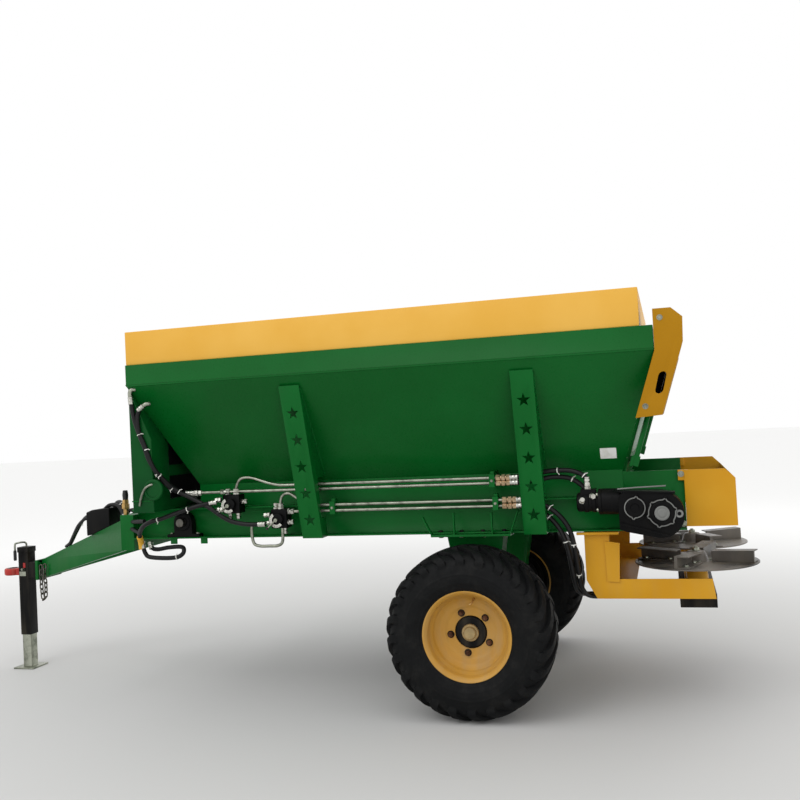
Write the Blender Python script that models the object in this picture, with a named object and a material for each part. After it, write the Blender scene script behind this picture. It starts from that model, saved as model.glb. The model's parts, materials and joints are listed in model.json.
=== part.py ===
"""A towed manure spreader with twin spinning discs.

A tapered hopper stands on a steel frame with a belt floor.  The belt carries the load back under a
sliding gate into a chute, and two bladed discs under the chute throw it out.  The machine runs on one
axle and is towed by an A-frame drawbar, which a drop-leg jack holds up when it is parked.

Metres.  +X runs to the rear, +Y to the machine's right-hand side and +Z up.  The origin is under the
middle of the whole machine, on the ground.
"""
import math

import bmesh
import bpy
import numpy as np
from mathutils import Matrix, Vector

# ---------------------------------------------------------------- driving dimensions
GAP = 0.0003                 # left between pieces that touch
SHAFT_CLEARANCE = 0.0006     # round a shaft, pin or sliding leg
RUNNING_CLEARANCE = 0.008    # between pieces that move past each other

TYRE_DIAMETER = 0.84
TYRE_WIDTH = 0.336
RIM_DIAMETER = 0.441         # over the rim's lips
RIM_WIDTH = 0.28
TRACK = 1.52                 # between the middle planes of the tyres

RAIL_ABOVE_TYRE = 0.045      # underside of the frame rails over the tyres
RAIL_HEIGHT = 0.168          # over both flanges
RAIL_FLANGE = 0.008          # flange and web thickness
RAIL_HALF_WIDTH = 0.66       # to the flanges' outer edges
WEB_HALF_WIDTH = 0.60        # to the outer face of the webs
SKIRT_HEIGHT = 0.127         # web above the upper flange, up to the hopper

HOPPER_HEIGHT = 0.555        # sloping sheets
HOPPER_HALF_TOP = 0.895
HOPPER_AHEAD = 1.80          # top front edge, ahead of the axle
FRAME_AHEAD = HOPPER_AHEAD + 0.15
HOPPER_BEHIND = 0.945        # top rear edge, behind the axle
FRONT_LEAN = math.radians(24.5)
REAR_LEAN = math.radians(18.0)
SHEET = 0.005                # hopper sheet thickness
BAND_HEIGHT = 0.115          # folded band round the top of the hopper
BAND_DEPTH = 0.035
BOARD_HEIGHT = 0.18          # extension boards on the band
BOARD_THICKNESS = 0.022
BOARD_REAR_SETBACK = 0.058   # the boards stop short of the band's rear end

ROLLER_RADIUS = 0.070
BELT_THICKNESS = 0.010
SHAFT_RADIUS = 0.0225
FRONT_SHAFT_AHEAD = HOPPER_AHEAD - 0.165
REAR_SHAFT_BEHIND = 0.930
SHAFT_ABOVE_RAIL = 0.090     # shaft centres over the underside of the rails

CHUTE_FRONT_BEHIND = 1.046
CHUTE_LENGTH = 0.232
CHUTE_SHEET = 0.005
CHUTE_CORNER = 0.045         # cut-off top rear corners

DISC_RADIUS = 0.300
DISC_BEHIND = 1.085          # disc centres behind the axle
DISC_SPACING = 0.72
DISC_BELOW_RAIL = 0.190      # top face of the discs under the rails
DISC_THICKNESS = 0.008
VANE_HEIGHT = 0.060
VANE_COUNT = 4

TRAY_FRONT_BEHIND = 0.560
TRAY_REAR_BEHIND = 1.160
TRAY_BELOW_RAIL = 0.330
TRAY_HALF_WIDTH = 0.640
TRAY_SHEET = 0.006
TRAY_CHAMFER = 0.048
TRAY_INSET = 0.001           # the folded sheet sits this far inside the side plates' edges
TRAY_LIP = 0.095

GATE_STROKE = 0.250
GATE_HEIGHT = 0.425
ROD_RADIUS = 0.0125
BARREL_RADIUS = 0.029
CYLINDER_HALF_SPACING = 0.655
COVER_DEPTH = 0.112

NOSE_AHEAD = 3.02            # front of the drawbar
NOSE_BOTTOM = 0.573
NOSE_HEIGHT = 0.120
DRAWBAR_HEIGHT = 0.178       # at its rear end
DRAWBAR_DROP = 0.062         # rear end's underside, under the rails
DRAWBAR_HALF_WIDTH = 0.64
BEAM_WIDTH = 0.080
EYE_AHEAD = 3.36             # tip of the towing eye
EYE_RADIUS = 0.058
EYE_HOLE_RADIUS = 0.026
TONGUE_THICKNESS = 0.046
TONGUE_WIDTH = 0.072

JACK_AHEAD = 3.110
JACK_SIDE = 0.105            # jack's centre, left of the middle
JACK_TUBE = 0.074            # outside of the square tube
JACK_WALL = 0.005
JACK_TUBE_TOP = 0.780
JACK_TUBE_BOTTOM = 0.215
JACK_FOOT = 0.150
JACK_FOOT_THICKNESS = 0.010
CHAIN_RADIUS = 0.012

BRACKET_WIDTH = 0.112
BRACKET_PLATE = 0.008
BRACKET_TOP_BELOW_BAND = 0.050
BRACKET_FOOT_HALF_WIDTH = 0.735
BRACKET_PLACES = (-0.831, 0.336)   # middles at the foot, behind the axle
BRACKET_LEANS = (-0.035, -0.006)   # how far each top stands behind its foot
STAR_RADIUS = 0.034
STAR_PITCH = 0.140
STAR_FIRST = 0.143           # top star under the bracket's top
STAR_COUNT = 5

PIPE_RADIUS = 0.0085
PIPE_HALF_WIDTH = 0.705
HOSE_RADIUS = 0.012

# ---------------------------------------------------------------- places worked out from them
AXLE_X = (EYE_AHEAD - DISC_BEHIND - DISC_RADIUS) / 2.0
AXLE_Z = TYRE_DIAMETER / 2.0
RAIL_Z = TYRE_DIAMETER + RAIL_ABOVE_TYRE
RAIL_TOP = RAIL_Z + RAIL_HEIGHT
HOPPER_Z = RAIL_TOP + SKIRT_HEIGHT
HOPPER_TOP = HOPPER_Z + HOPPER_HEIGHT
BAND_TOP = HOPPER_TOP + BAND_HEIGHT
BOARD_TOP = BAND_TOP + BOARD_HEIGHT
SHAFT_Z = RAIL_Z + SHAFT_ABOVE_RAIL
BELT_TOP = SHAFT_Z + ROLLER_RADIUS + GAP + BELT_THICKNESS
DISC_Z = RAIL_Z - DISC_BELOW_RAIL
TRAY_Z = RAIL_Z - TRAY_BELOW_RAIL
WEB_INSIDE = WEB_HALF_WIDTH - RAIL_FLANGE
FRONT_TOP_X = AXLE_X - HOPPER_AHEAD
REAR_TOP_X = AXLE_X + HOPPER_BEHIND
FRONT_FOOT_X = FRONT_TOP_X + HOPPER_HEIGHT * math.tan(FRONT_LEAN)
REAR_FOOT_X = REAR_TOP_X - HOPPER_HEIGHT * math.tan(REAR_LEAN)
SIDES = (("left", -1.0), ("right", 1.0))

# ---------------------------------------------------------------- materials
PAINTS = {
    "green": ((0.010, 0.105, 0.035), 0.42, 0.0),
    "yellow": ((0.760, 0.430, 0.060), 0.42, 0.0),
    "black": ((0.016, 0.016, 0.017), 0.50, 0.0),
    "rubber": ((0.022, 0.022, 0.023), 0.85, 0.0),
    "steel": ((0.520, 0.520, 0.500), 0.35, 0.9),
    "red": ((0.450, 0.020, 0.020), 0.40, 0.0),
}


def finish(obj, paint):
    """Gives an object its own Principled material in one of the machine's paints."""
    colour, roughness, metallic = PAINTS[paint]
    material = bpy.data.materials.new(obj.name + "_" + paint)
    material.use_nodes = True
    shader = material.node_tree.nodes["Principled BSDF"]
    shader.inputs["Base Color"].default_value = (*colour, 1.0)
    shader.inputs["Roughness"].default_value = roughness
    shader.inputs["Metallic"].default_value = metallic
    obj.data.materials.clear()
    obj.data.materials.append(material)
    return obj


# ---------------------------------------------------------------- shape helpers
def from_bmesh(name, bm):
    """Turns a bmesh into a linked object with outward faces."""
    bmesh.ops.recalc_face_normals(bm, faces=bm.faces)
    mesh = bpy.data.meshes.new(name)
    bm.to_mesh(mesh)
    bm.free()
    obj = bpy.data.objects.new(name, mesh)
    bpy.context.scene.collection.objects.link(obj)
    return obj


def block(name, x0, x1, y0, y1, z0, z1):
    """A rectangular block between two corners."""
    return hexahedron(name, [(x, y, z) for z in (z0, z1) for x, y in
                             ((x0, y0), (x1, y0), (x1, y1), (x0, y1))])


def hexahedron(name, corners):
    """A six-sided solid from its four lower and four upper corners, each four in ring order."""
    bm = bmesh.new()
    verts = [bm.verts.new(corner) for corner in corners]
    faces = ((0, 1, 2, 3), (4, 5, 6, 7), (0, 1, 5, 4), (1, 2, 6, 5), (2, 3, 7, 6), (3, 0, 4, 7))
    for face in faces:
        bm.faces.new([verts[index] for index in face])
    return from_bmesh(name, bm)


def prism(name, outline, axis, start, end):
    """Extrudes a flat outline along X, Y or Z; the outline's two numbers are the other two axes."""
    def place(pair, depth):
        values = list(pair)
        values.insert("XYZ".index(axis), depth)
        return values

    bm = bmesh.new()
    near = [bm.verts.new(place(pair, start)) for pair in outline]
    far = [bm.verts.new(place(pair, end)) for pair in outline]
    bm.faces.new(near)
    bm.faces.new(far)
    for index in range(len(outline)):
        after = (index + 1) % len(outline)
        bm.faces.new((near[index], near[after], far[after], far[index]))
    return from_bmesh(name, bm)


def arc(cx, cy, radius, start, end, steps):
    """Points of an arc in degrees, both ends included."""
    angles = np.radians(np.linspace(start, end, steps + 1))
    return [(cx + radius * math.cos(a), cy + radius * math.sin(a)) for a in angles]


def lathe(name, profile, axis, centre, steps=32):
    """Turns a closed outline of (radius, distance along the axis) round X, Y or Z."""
    centre = Vector(centre)
    along = Vector([float(axis == letter) for letter in "XYZ"])
    first = along.yzx
    second = along.cross(first)
    bm = bmesh.new()
    rings = []
    for radius, distance in profile:
        if radius == 0.0:
            rings.append([bm.verts.new(centre + along * distance)] * steps)
            continue
        ring = []
        for step in range(steps):
            angle = 2.0 * math.pi * step / steps
            ring.append(bm.verts.new(centre + along * distance + first * radius * math.cos(angle)
                                     + second * radius * math.sin(angle)))
        rings.append(ring)
    for index, ring in enumerate(rings):
        after = rings[(index + 1) % len(rings)]
        for step in range(steps):
            nxt = (step + 1) % steps
            corners = [ring[step], ring[nxt], after[nxt], after[step]]
            corners = list(dict.fromkeys(corners))
            if len(corners) > 2:
                bm.faces.new(corners)
    obj = from_bmesh(name, bm)
    obj.data.shade_smooth()
    obj.data.set_sharp_from_angle(angle=math.radians(35.0))
    return obj


def rod(name, start, end, radius, steps=16):
    """A plain round bar between two points."""
    start, end = Vector(start), Vector(end)
    length = (end - start).length
    obj = lathe(name, [(0.0, 0.0), (radius, 0.0), (radius, length), (0.0, length)], "Z", (0, 0, 0), steps)
    turn = Vector((0, 0, 1)).rotation_difference(end - start).to_matrix().to_4x4()
    obj.data.transform(Matrix.Translation(start) @ turn)
    return obj


def smooth_route(points, steps):
    """Reads a Catmull-Rom curve through the route's own points."""
    pts = np.array(points, dtype=float)
    pts = np.vstack([2 * pts[0] - pts[1], pts, 2 * pts[-1] - pts[-2]])
    route = []
    for index in range(1, len(pts) - 2):
        p0, p1, p2, p3 = pts[index - 1:index + 3]
        for t in np.linspace(0.0, 1.0, steps, endpoint=False):
            route.append(0.5 * (2 * p1 + (p2 - p0) * t + (2 * p0 - 5 * p1 + 4 * p2 - p3) * t ** 2
                                + (3 * p1 - p0 - 3 * p2 + p3) * t ** 3))
    route.append(pts[-2])
    return route


def tube(name, points, radius, steps=4, sides_level=2, square_ends=0.004):
    """A round tube with closed ends along a smooth route."""
    route = smooth_route(points, steps)
    for end, inner in ((0, 1), (-1, -2)):
        straight = np.array(points[end], dtype=float) - np.array(points[inner], dtype=float)
        route.insert(1 if end == 0 else len(route) - 1,
                     route[end] - square_ends * straight / np.linalg.norm(straight))
    curve = bpy.data.curves.new(name, "CURVE")
    curve.dimensions = "3D"
    spline = curve.splines.new("POLY")
    spline.points.add(len(route) - 1)
    for point, place in zip(spline.points, route):
        point.co = (*place, 1.0)
    curve.bevel_depth = radius
    curve.bevel_resolution = sides_level
    curve.use_fill_caps = True
    obj = bpy.data.objects.new(name, curve)
    bpy.context.scene.collection.objects.link(obj)
    return as_mesh(obj)


def as_mesh(obj):
    """Replaces a curve object, or one with modifiers, by its evaluated mesh."""
    evaluated = obj.evaluated_get(bpy.context.evaluated_depsgraph_get())
    mesh = bpy.data.meshes.new_from_object(evaluated)
    name = obj.name
    matrix = obj.matrix_world.copy()
    bpy.data.objects.remove(obj)
    mesh.name = name
    bm = bmesh.new()
    bm.from_mesh(mesh)
    bmesh.ops.remove_doubles(bm, verts=bm.verts, dist=0.00001)
    bm.to_mesh(mesh)
    bm.free()
    solid = bpy.data.objects.new(name, mesh)
    solid.matrix_world = matrix
    bpy.context.scene.collection.objects.link(solid)
    return solid


def combine(target, others, operation):
    """Joins other solids to a target, or cuts them out of it, and removes them."""
    for other in others:
        modifier = target.modifiers.new("combine", "BOOLEAN")
        modifier.operation = operation
        modifier.solver = "EXACT"
        modifier.object = other
    bpy.context.view_layer.update()
    mesh = bpy.data.meshes.new_from_object(
        target.evaluated_get(bpy.context.evaluated_depsgraph_get()))
    target.modifiers.clear()
    target.data = mesh
    for other in others:
        bpy.data.objects.remove(other)
    return target


def join(target, *others):
    """Welds solids that overlap into one."""
    return combine(target, others, "UNION")


def cut(target, *cutters):
    """Takes cutters out of a solid."""
    return combine(target, cutters, "DIFFERENCE")


def copy_mirrored(obj, name):
    """The same piece on the machine's other side."""
    mesh = obj.data.copy()
    mesh.transform(Matrix.Scale(-1.0, 4, (0, 1, 0)))
    mesh.flip_normals()
    twin = bpy.data.objects.new(name, mesh)
    bpy.context.scene.collection.objects.link(twin)
    return twin


def set_origin(obj, place):
    """Moves a piece's origin onto its joint's axis and leaves the piece where it is."""
    obj.data.transform(Matrix.Translation(-Vector(place)))
    obj.location = place
    return obj


def hopper_half(z, inside=0.0):
    """Half the hopper's width over its outer faces at a height, less a distance from the sheet's face."""
    share = (z - HOPPER_Z) / HOPPER_HEIGHT
    lean = math.atan2(HOPPER_HALF_TOP - WEB_HALF_WIDTH, HOPPER_HEIGHT)
    return WEB_HALF_WIDTH + share * (HOPPER_HALF_TOP - WEB_HALF_WIDTH) - inside / math.cos(lean)


def front_x(z, inside=0.0):
    """Outer face of the hopper's front sheet at a height, moved inwards by a distance."""
    return FRONT_TOP_X + (HOPPER_TOP - z) * math.tan(FRONT_LEAN) + inside / math.cos(FRONT_LEAN)


def rear_x(z, inside=0.0):
    """Outer face of the hopper's rear sheet at a height, moved inwards by a distance."""
    return REAR_TOP_X - (HOPPER_TOP - z) * math.tan(REAR_LEAN) - inside / math.cos(REAR_LEAN)


def on_slope(up, out):
    """X and Z of a point on the rear sheet's slope: up along it from its foot, and out from its face."""
    x = REAR_FOOT_X + up * math.sin(REAR_LEAN) + out * math.cos(REAR_LEAN)
    z = HOPPER_Z + up * math.cos(REAR_LEAN) - out * math.sin(REAR_LEAN)
    return x, z


def slope_block(name, up0, up1, out0, out1, y0, y1):
    """A block square to the rear sheet's slope."""
    outline = [on_slope(up0, out0), on_slope(up0, out1), on_slope(up1, out1), on_slope(up1, out0)]
    return prism(name, outline, "Y", y0, y1)


# ---------------------------------------------------------------- frame
RAIL_REAR_X = REAR_FOOT_X - 0.004


def build_rails():
    """Left and right rails: a web that carries the hopper, with two flanges outwards."""
    outline = [
        (-WEB_INSIDE, RAIL_Z), (-WEB_INSIDE, HOPPER_Z - GAP), (-WEB_HALF_WIDTH, HOPPER_Z - GAP),
        (-WEB_HALF_WIDTH, RAIL_TOP), (-RAIL_HALF_WIDTH, RAIL_TOP),
        (-RAIL_HALF_WIDTH, RAIL_TOP - RAIL_FLANGE), (-WEB_HALF_WIDTH, RAIL_TOP - RAIL_FLANGE),
        (-WEB_HALF_WIDTH, RAIL_Z + RAIL_FLANGE), (-RAIL_HALF_WIDTH, RAIL_Z + RAIL_FLANGE),
        (-RAIL_HALF_WIDTH, RAIL_Z),
    ]
    rail = prism("rail_left", outline, "X", AXLE_X - FRAME_AHEAD, RAIL_REAR_X)
    shaft_hole = rod("shaft_hole", (AXLE_X - FRONT_SHAFT_AHEAD, -1.0, SHAFT_Z),
                     (AXLE_X - FRONT_SHAFT_AHEAD, 0.0, SHAFT_Z), SHAFT_RADIUS + 0.006)
    skirt_end = block("skirt_end", AXLE_X - FRAME_AHEAD - 1.0, front_x(HOPPER_Z), -1.0, 0.0,
                      RAIL_TOP, HOPPER_Z + 0.1)
    cut(rail, shaft_hole, skirt_end)
    finish(rail, "green")
    finish(copy_mirrored(rail, "rail_right"), "green")


CROSS_PLACES = (-1.15, -0.45, 0.0, 0.60)
BED_TOP = SHAFT_Z + ROLLER_RADIUS - GAP
BED_THICKNESS = 0.006
CROSS_SIZE = 0.055


def build_floor_bed():
    """The plate that the belt slides on, welded to four cross members between the rails."""
    half = WEB_INSIDE - GAP
    bed = block("floor_bed", AXLE_X - FRONT_SHAFT_AHEAD + ROLLER_RADIUS + 0.02,
                AXLE_X + REAR_SHAFT_BEHIND - ROLLER_RADIUS - 0.02, -half, half,
                BED_TOP - BED_THICKNESS, BED_TOP)
    members = []
    for index, place in enumerate(CROSS_PLACES):
        x = AXLE_X + place
        members.append(block("cross_%d" % index, x - CROSS_SIZE / 2, x + CROSS_SIZE / 2, -half, half,
                             BED_TOP - BED_THICKNESS - CROSS_SIZE, BED_TOP - BED_THICKNESS / 2))
    finish(join(bed, *members), "green")


BELT_HALF_WIDTH = WEB_INSIDE - 0.010


def build_belt():
    """The belt floor, one flat loop round both rollers."""
    def loop(radius):
        front, rear = AXLE_X - FRONT_SHAFT_AHEAD, AXLE_X + REAR_SHAFT_BEHIND
        return arc(rear, SHAFT_Z, radius, -90, 90, 12) + arc(front, SHAFT_Z, radius, 90, 270, 12)

    belt = prism("belt", loop(ROLLER_RADIUS + GAP + BELT_THICKNESS), "Y",
                 -BELT_HALF_WIDTH, BELT_HALF_WIDTH)
    inside = prism("belt_inside", loop(ROLLER_RADIUS + GAP), "Y", -1.0, 1.0)
    finish(cut(belt, inside), "rubber")


def build_rollers():
    """Front and rear rollers with the shafts that stand out through the frame."""
    reach_front = RAIL_HALF_WIDTH + 0.030
    reach_rear = WEB_HALF_WIDTH + 0.060
    for name, x, reach in (("front_roller", AXLE_X - FRONT_SHAFT_AHEAD, reach_front),
                           ("rear_roller", AXLE_X + REAR_SHAFT_BEHIND, reach_rear)):
        profile = [(0.0, -reach), (SHAFT_RADIUS, -reach), (SHAFT_RADIUS, -BELT_HALF_WIDTH),
                   (ROLLER_RADIUS, -BELT_HALF_WIDTH), (ROLLER_RADIUS, BELT_HALF_WIDTH),
                   (SHAFT_RADIUS, BELT_HALF_WIDTH), (SHAFT_RADIUS, reach), (0.0, reach)]
        finish(lathe(name, profile, "Y", (x, 0.0, SHAFT_Z), 24), "steel")


BEARING_HALF = 0.062


def build_front_bearings():
    """Pillow blocks on the rails' lower flanges, round the ends of the front shaft."""
    x = AXLE_X - FRONT_SHAFT_AHEAD
    foot = RAIL_Z + RAIL_FLANGE + GAP
    outline = [(x - BEARING_HALF * 1.6, foot), (x + BEARING_HALF * 1.6, foot),
               (x + BEARING_HALF * 1.6, foot + 0.016), (x + BEARING_HALF * 0.9, foot + 0.020)]
    outline += arc(x, SHAFT_Z, BEARING_HALF * 0.9, 0, 180, 10)
    outline += [(x - BEARING_HALF * 0.9, foot + 0.020), (x - BEARING_HALF * 1.6, foot + 0.016)]
    bearing = prism("front_bearing_left", outline, "Y", -RAIL_HALF_WIDTH + 0.004, -WEB_HALF_WIDTH - 0.008)
    bore = rod("bore", (x, -1.0, SHAFT_Z), (x, 0.0, SHAFT_Z), SHAFT_RADIUS + GAP, 24)
    cut(bearing, bore)
    finish(bearing, "black")
    finish(copy_mirrored(bearing, "front_bearing_right"), "black")


PLATE_FRONT_X = RAIL_REAR_X + GAP
PLATE_REAR_X = AXLE_X + CHUTE_FRONT_BEHIND


def build_rear_plates():
    """Side plates behind the rails, which carry the rear shaft, the gearbox and the chute."""
    hole = SHAFT_RADIUS + GAP
    for name, side in SIDES:
        y0, y1 = sorted((side * WEB_INSIDE, side * WEB_HALF_WIDTH))
        plate = block("rear_plate_" + name, PLATE_FRONT_X, PLATE_REAR_X, y0, y1, RAIL_Z, HOPPER_Z - 0.012)
        y0, y1 = sorted((side * WEB_INSIDE, side * RAIL_HALF_WIDTH))
        flange = block("flange", PLATE_FRONT_X, PLATE_REAR_X, y0, y1, RAIL_Z, RAIL_Z + RAIL_FLANGE)
        pieces = [flange]
        if name == "right":
            pieces.append(rod("housing", (AXLE_X + REAR_SHAFT_BEHIND, WEB_INSIDE + 0.002, SHAFT_Z),
                              (AXLE_X + REAR_SHAFT_BEHIND, WEB_HALF_WIDTH + 0.040, SHAFT_Z),
                              NECK_RADIUS, 20))
        join(plate, *pieces)
        cut(plate, rod("hole", (AXLE_X + REAR_SHAFT_BEHIND, side * 0.3, SHAFT_Z),
                       (AXLE_X + REAR_SHAFT_BEHIND, side, SHAFT_Z), hole, 24))
        finish(plate, "green")


# ---------------------------------------------------------------- floor drive
GEAR_BACK = WEB_HALF_WIDTH + GAP
GEAR_FACE = 0.800
NECK_RADIUS = 0.050
GEAR_INPUT_X = AXLE_X + REAR_SHAFT_BEHIND - 0.116
GEAR_INPUT_Z = SHAFT_Z + 0.020
MOTOR_Z = SHAFT_Z + 0.062
MOTOR_Y = -0.735
MOTOR_FRONT_X = AXLE_X + 0.545


def build_gearbox():
    """Reduction gearbox on the left end of the rear shaft: a big end round the shaft, a small end ahead."""
    shaft_x = AXLE_X + REAR_SHAFT_BEHIND
    body_outline = (arc(shaft_x, SHAFT_Z, 0.108, -100, 84, 14)
                    + [(GEAR_INPUT_X - 0.048, SHAFT_Z + 0.112), (GEAR_INPUT_X - 0.072, SHAFT_Z + 0.085),
                       (GEAR_INPUT_X - 0.072, SHAFT_Z - 0.066), (GEAR_INPUT_X - 0.040, SHAFT_Z - 0.078)])
    box = prism("gearbox", body_outline, "Y", -GEAR_FACE, -RAIL_HALF_WIDTH - 0.004)
    neck = rod("neck", (shaft_x, -RAIL_HALF_WIDTH - 0.050, SHAFT_Z), (shaft_x, -GEAR_BACK, SHAFT_Z),
               NECK_RADIUS, 24)
    big = rod("big_cover", (shaft_x, -GEAR_FACE - 0.012, SHAFT_Z), (shaft_x, -GEAR_FACE + 0.02, SHAFT_Z),
              0.062, 24)
    small = rod("small_cover", (GEAR_INPUT_X, -GEAR_FACE - 0.008, GEAR_INPUT_Z),
                (GEAR_INPUT_X, -GEAR_FACE + 0.02, GEAR_INPUT_Z), 0.050, 24)
    bell = rod("bell", (GEAR_INPUT_X - 0.150, MOTOR_Y, MOTOR_Z), (GEAR_INPUT_X - 0.06, MOTOR_Y, MOTOR_Z),
               0.062, 24)
    join(box, neck, big, small, bell)
    cut(box, rod("bore", (shaft_x, -WEB_HALF_WIDTH - 0.070, SHAFT_Z), (shaft_x, 0.0, SHAFT_Z),
                 SHAFT_RADIUS + GAP, 24))
    finish(box, "black")


MOTOR_REAR_X = GEAR_INPUT_X - 0.150 - GAP
MOTOR_RADIUS = 0.048


def build_motor():
    """Hydraulic motor ahead of the gearbox, with its square port block."""
    motor = rod("floor_motor", (MOTOR_FRONT_X, MOTOR_Y, MOTOR_Z), (MOTOR_REAR_X, MOTOR_Y, MOTOR_Z),
                MOTOR_RADIUS, 24)
    flange = rod("flange", (MOTOR_REAR_X - 0.016, MOTOR_Y, MOTOR_Z), (MOTOR_REAR_X, MOTOR_Y, MOTOR_Z), 0.060, 24)
    ports = block("ports", MOTOR_FRONT_X + 0.022, MOTOR_FRONT_X + 0.082, MOTOR_Y - 0.030, MOTOR_Y + 0.030,
                  MOTOR_Z, MOTOR_Z + MOTOR_RADIUS + 0.014)
    finish(join(motor, flange, ports), "black")


# ---------------------------------------------------------------- hopper
def build_hopper_sides():
    """Sloping side sheets, each with the folded band along its top."""
    corners = []
    for z in (HOPPER_Z, HOPPER_TOP + 0.010):
        outer, inner = hopper_half(z), hopper_half(z, SHEET)
        corners += [(front_x(z), -outer, z), (rear_x(z), -outer, z), (rear_x(z), -inner, z),
                    (front_x(z), -inner, z)]
    sheet = hexahedron("hopper_side_left", corners)
    band = block("band", FRONT_TOP_X, REAR_TOP_X, -HOPPER_HALF_TOP - 0.005,
                 -HOPPER_HALF_TOP - 0.005 + BAND_DEPTH, HOPPER_TOP, BAND_TOP)
    join(sheet, band)
    finish(sheet, "green")
    finish(copy_mirrored(sheet, "hopper_side_right"), "green")


BAND_INSIDE = HOPPER_HALF_TOP + 0.005 - BAND_DEPTH - GAP
GATE_OPENING_UP = 0.255      # the rear sheet starts this far up the slope


def build_hopper_ends():
    """Front and rear sheets between the side sheets, each with its own band."""
    for name, place, z0, x_out in (("hopper_front", front_x, HOPPER_Z, 1.0),
                                   ("hopper_rear", rear_x, on_slope(GATE_OPENING_UP, 0.0)[1], -1.0)):
        corners = []
        for z in (z0, HOPPER_TOP - GAP):
            half = hopper_half(z, SHEET) - GAP * 2
            outer, inner = place(z), place(z, SHEET)
            corners += [(outer, -half, z), (inner, -half, z), (inner, half, z), (outer, half, z)]
        sheet = hexahedron(name, corners)
        if name == "hopper_front":
            foot = front_x(HOPPER_Z)
            join(sheet, block("apron", foot, foot + SHEET, -WEB_INSIDE + 0.002, WEB_INSIDE - 0.002,
                              BELT_TOP + RUNNING_CLEARANCE, HOPPER_Z + 0.004))
        edge = place(HOPPER_TOP)
        x0, x1 = sorted((edge, edge + x_out * BAND_DEPTH))
        join(sheet, block("band", x0, x1, -BAND_INSIDE, BAND_INSIDE, HOPPER_TOP - 0.006, BAND_TOP))
        finish(sheet, "green")


def build_boards():
    """Extension boards on the bands, one to each side of the hopper."""
    y1 = HOPPER_HALF_TOP - 0.004
    rear = REAR_TOP_X - BOARD_REAR_SETBACK
    side = block("board_left", FRONT_TOP_X, rear, -y1, -y1 + BOARD_THICKNESS, BAND_TOP + GAP, BOARD_TOP)
    finish(side, "yellow")
    finish(copy_mirrored(side, "board_right"), "yellow")
    half = y1 - BOARD_THICKNESS - GAP
    front = block("board_front", FRONT_TOP_X, FRONT_TOP_X + BOARD_THICKNESS, -half, half,
                  BAND_TOP + GAP, BOARD_TOP)
    back = block("board_rear", rear - BOARD_THICKNESS, rear, -half, half, BAND_TOP + GAP, BOARD_TOP)
    finish(front, "yellow")
    finish(back, "yellow")


POST_DEPTH = 0.130           # along X
POST_WIDTH = 0.175
POST_HALF = HOPPER_HALF_TOP - 0.010
POST_BEAM_BACK = 0.020       # the middle beam stops this far ahead of the posts' rear faces
SILL_HEIGHT = 0.060
FRONT_PANEL = 0.006


def build_front_bulkhead():
    """Open frame under the hopper's front edge: two posts, a middle beam and a sill on the rails."""
    x0, x1 = FRONT_TOP_X + 0.002, FRONT_TOP_X + POST_DEPTH
    sill_z = RAIL_TOP + GAP
    bulkhead = block("front_bulkhead", x0, x1, -POST_HALF, POST_HALF, sill_z, sill_z + SILL_HEIGHT)
    parts = []
    for _, side in SIDES:
        y0, y1 = sorted((side * POST_HALF, side * (POST_HALF - POST_WIDTH)))
        parts.append(block("post", x0, x1, y0, y1, sill_z + 0.010, HOPPER_TOP - GAP))
    parts.append(block("beam", x0 + 0.03, x1 - POST_BEAM_BACK, -POST_HALF + 0.02, POST_HALF - 0.02,
                       sill_z + 0.185, sill_z + 0.245))
    join(bulkhead, *parts)
    clearance = 0.0010
    corners = []
    for z in (HOPPER_Z - 0.2, HOPPER_TOP + 0.1):
        near, far = front_x(z) - clearance, front_x(z) + 2.0
        corners += [(near, -2.0, z), (far, -2.0, z), (far, 2.0, z), (near, 2.0, z)]
    cut(bulkhead, hexahedron("hopper_space", corners))
    finish(bulkhead, "green")
    near = x1 - POST_BEAM_BACK + GAP
    far = near + FRONT_PANEL
    half = POST_HALF - POST_WIDTH - GAP
    top = HOPPER_TOP - (far - FRONT_TOP_X + 0.003) / math.tan(FRONT_LEAN)
    finish(block("front_panel", near, far, -half, half, sill_z + SILL_HEIGHT + GAP, top), "black")


# ---------------------------------------------------------------- star brackets
BRACKET_TOP = HOPPER_TOP - BRACKET_TOP_BELOW_BAND
NOTCH_LOW = RAIL_Z + 0.105
NOTCH_HIGH = HOPPER_Z + 0.022


def star(radius, count=5, waist=0.40):
    """Outline of a five-pointed star round the origin, one point up."""
    outline = []
    for index in range(2 * count):
        angle = math.pi / 2 + index * math.pi / count
        reach = radius if index % 2 == 0 else radius * waist
        outline.append((reach * math.cos(angle), reach * math.sin(angle)))
    return outline


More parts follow.
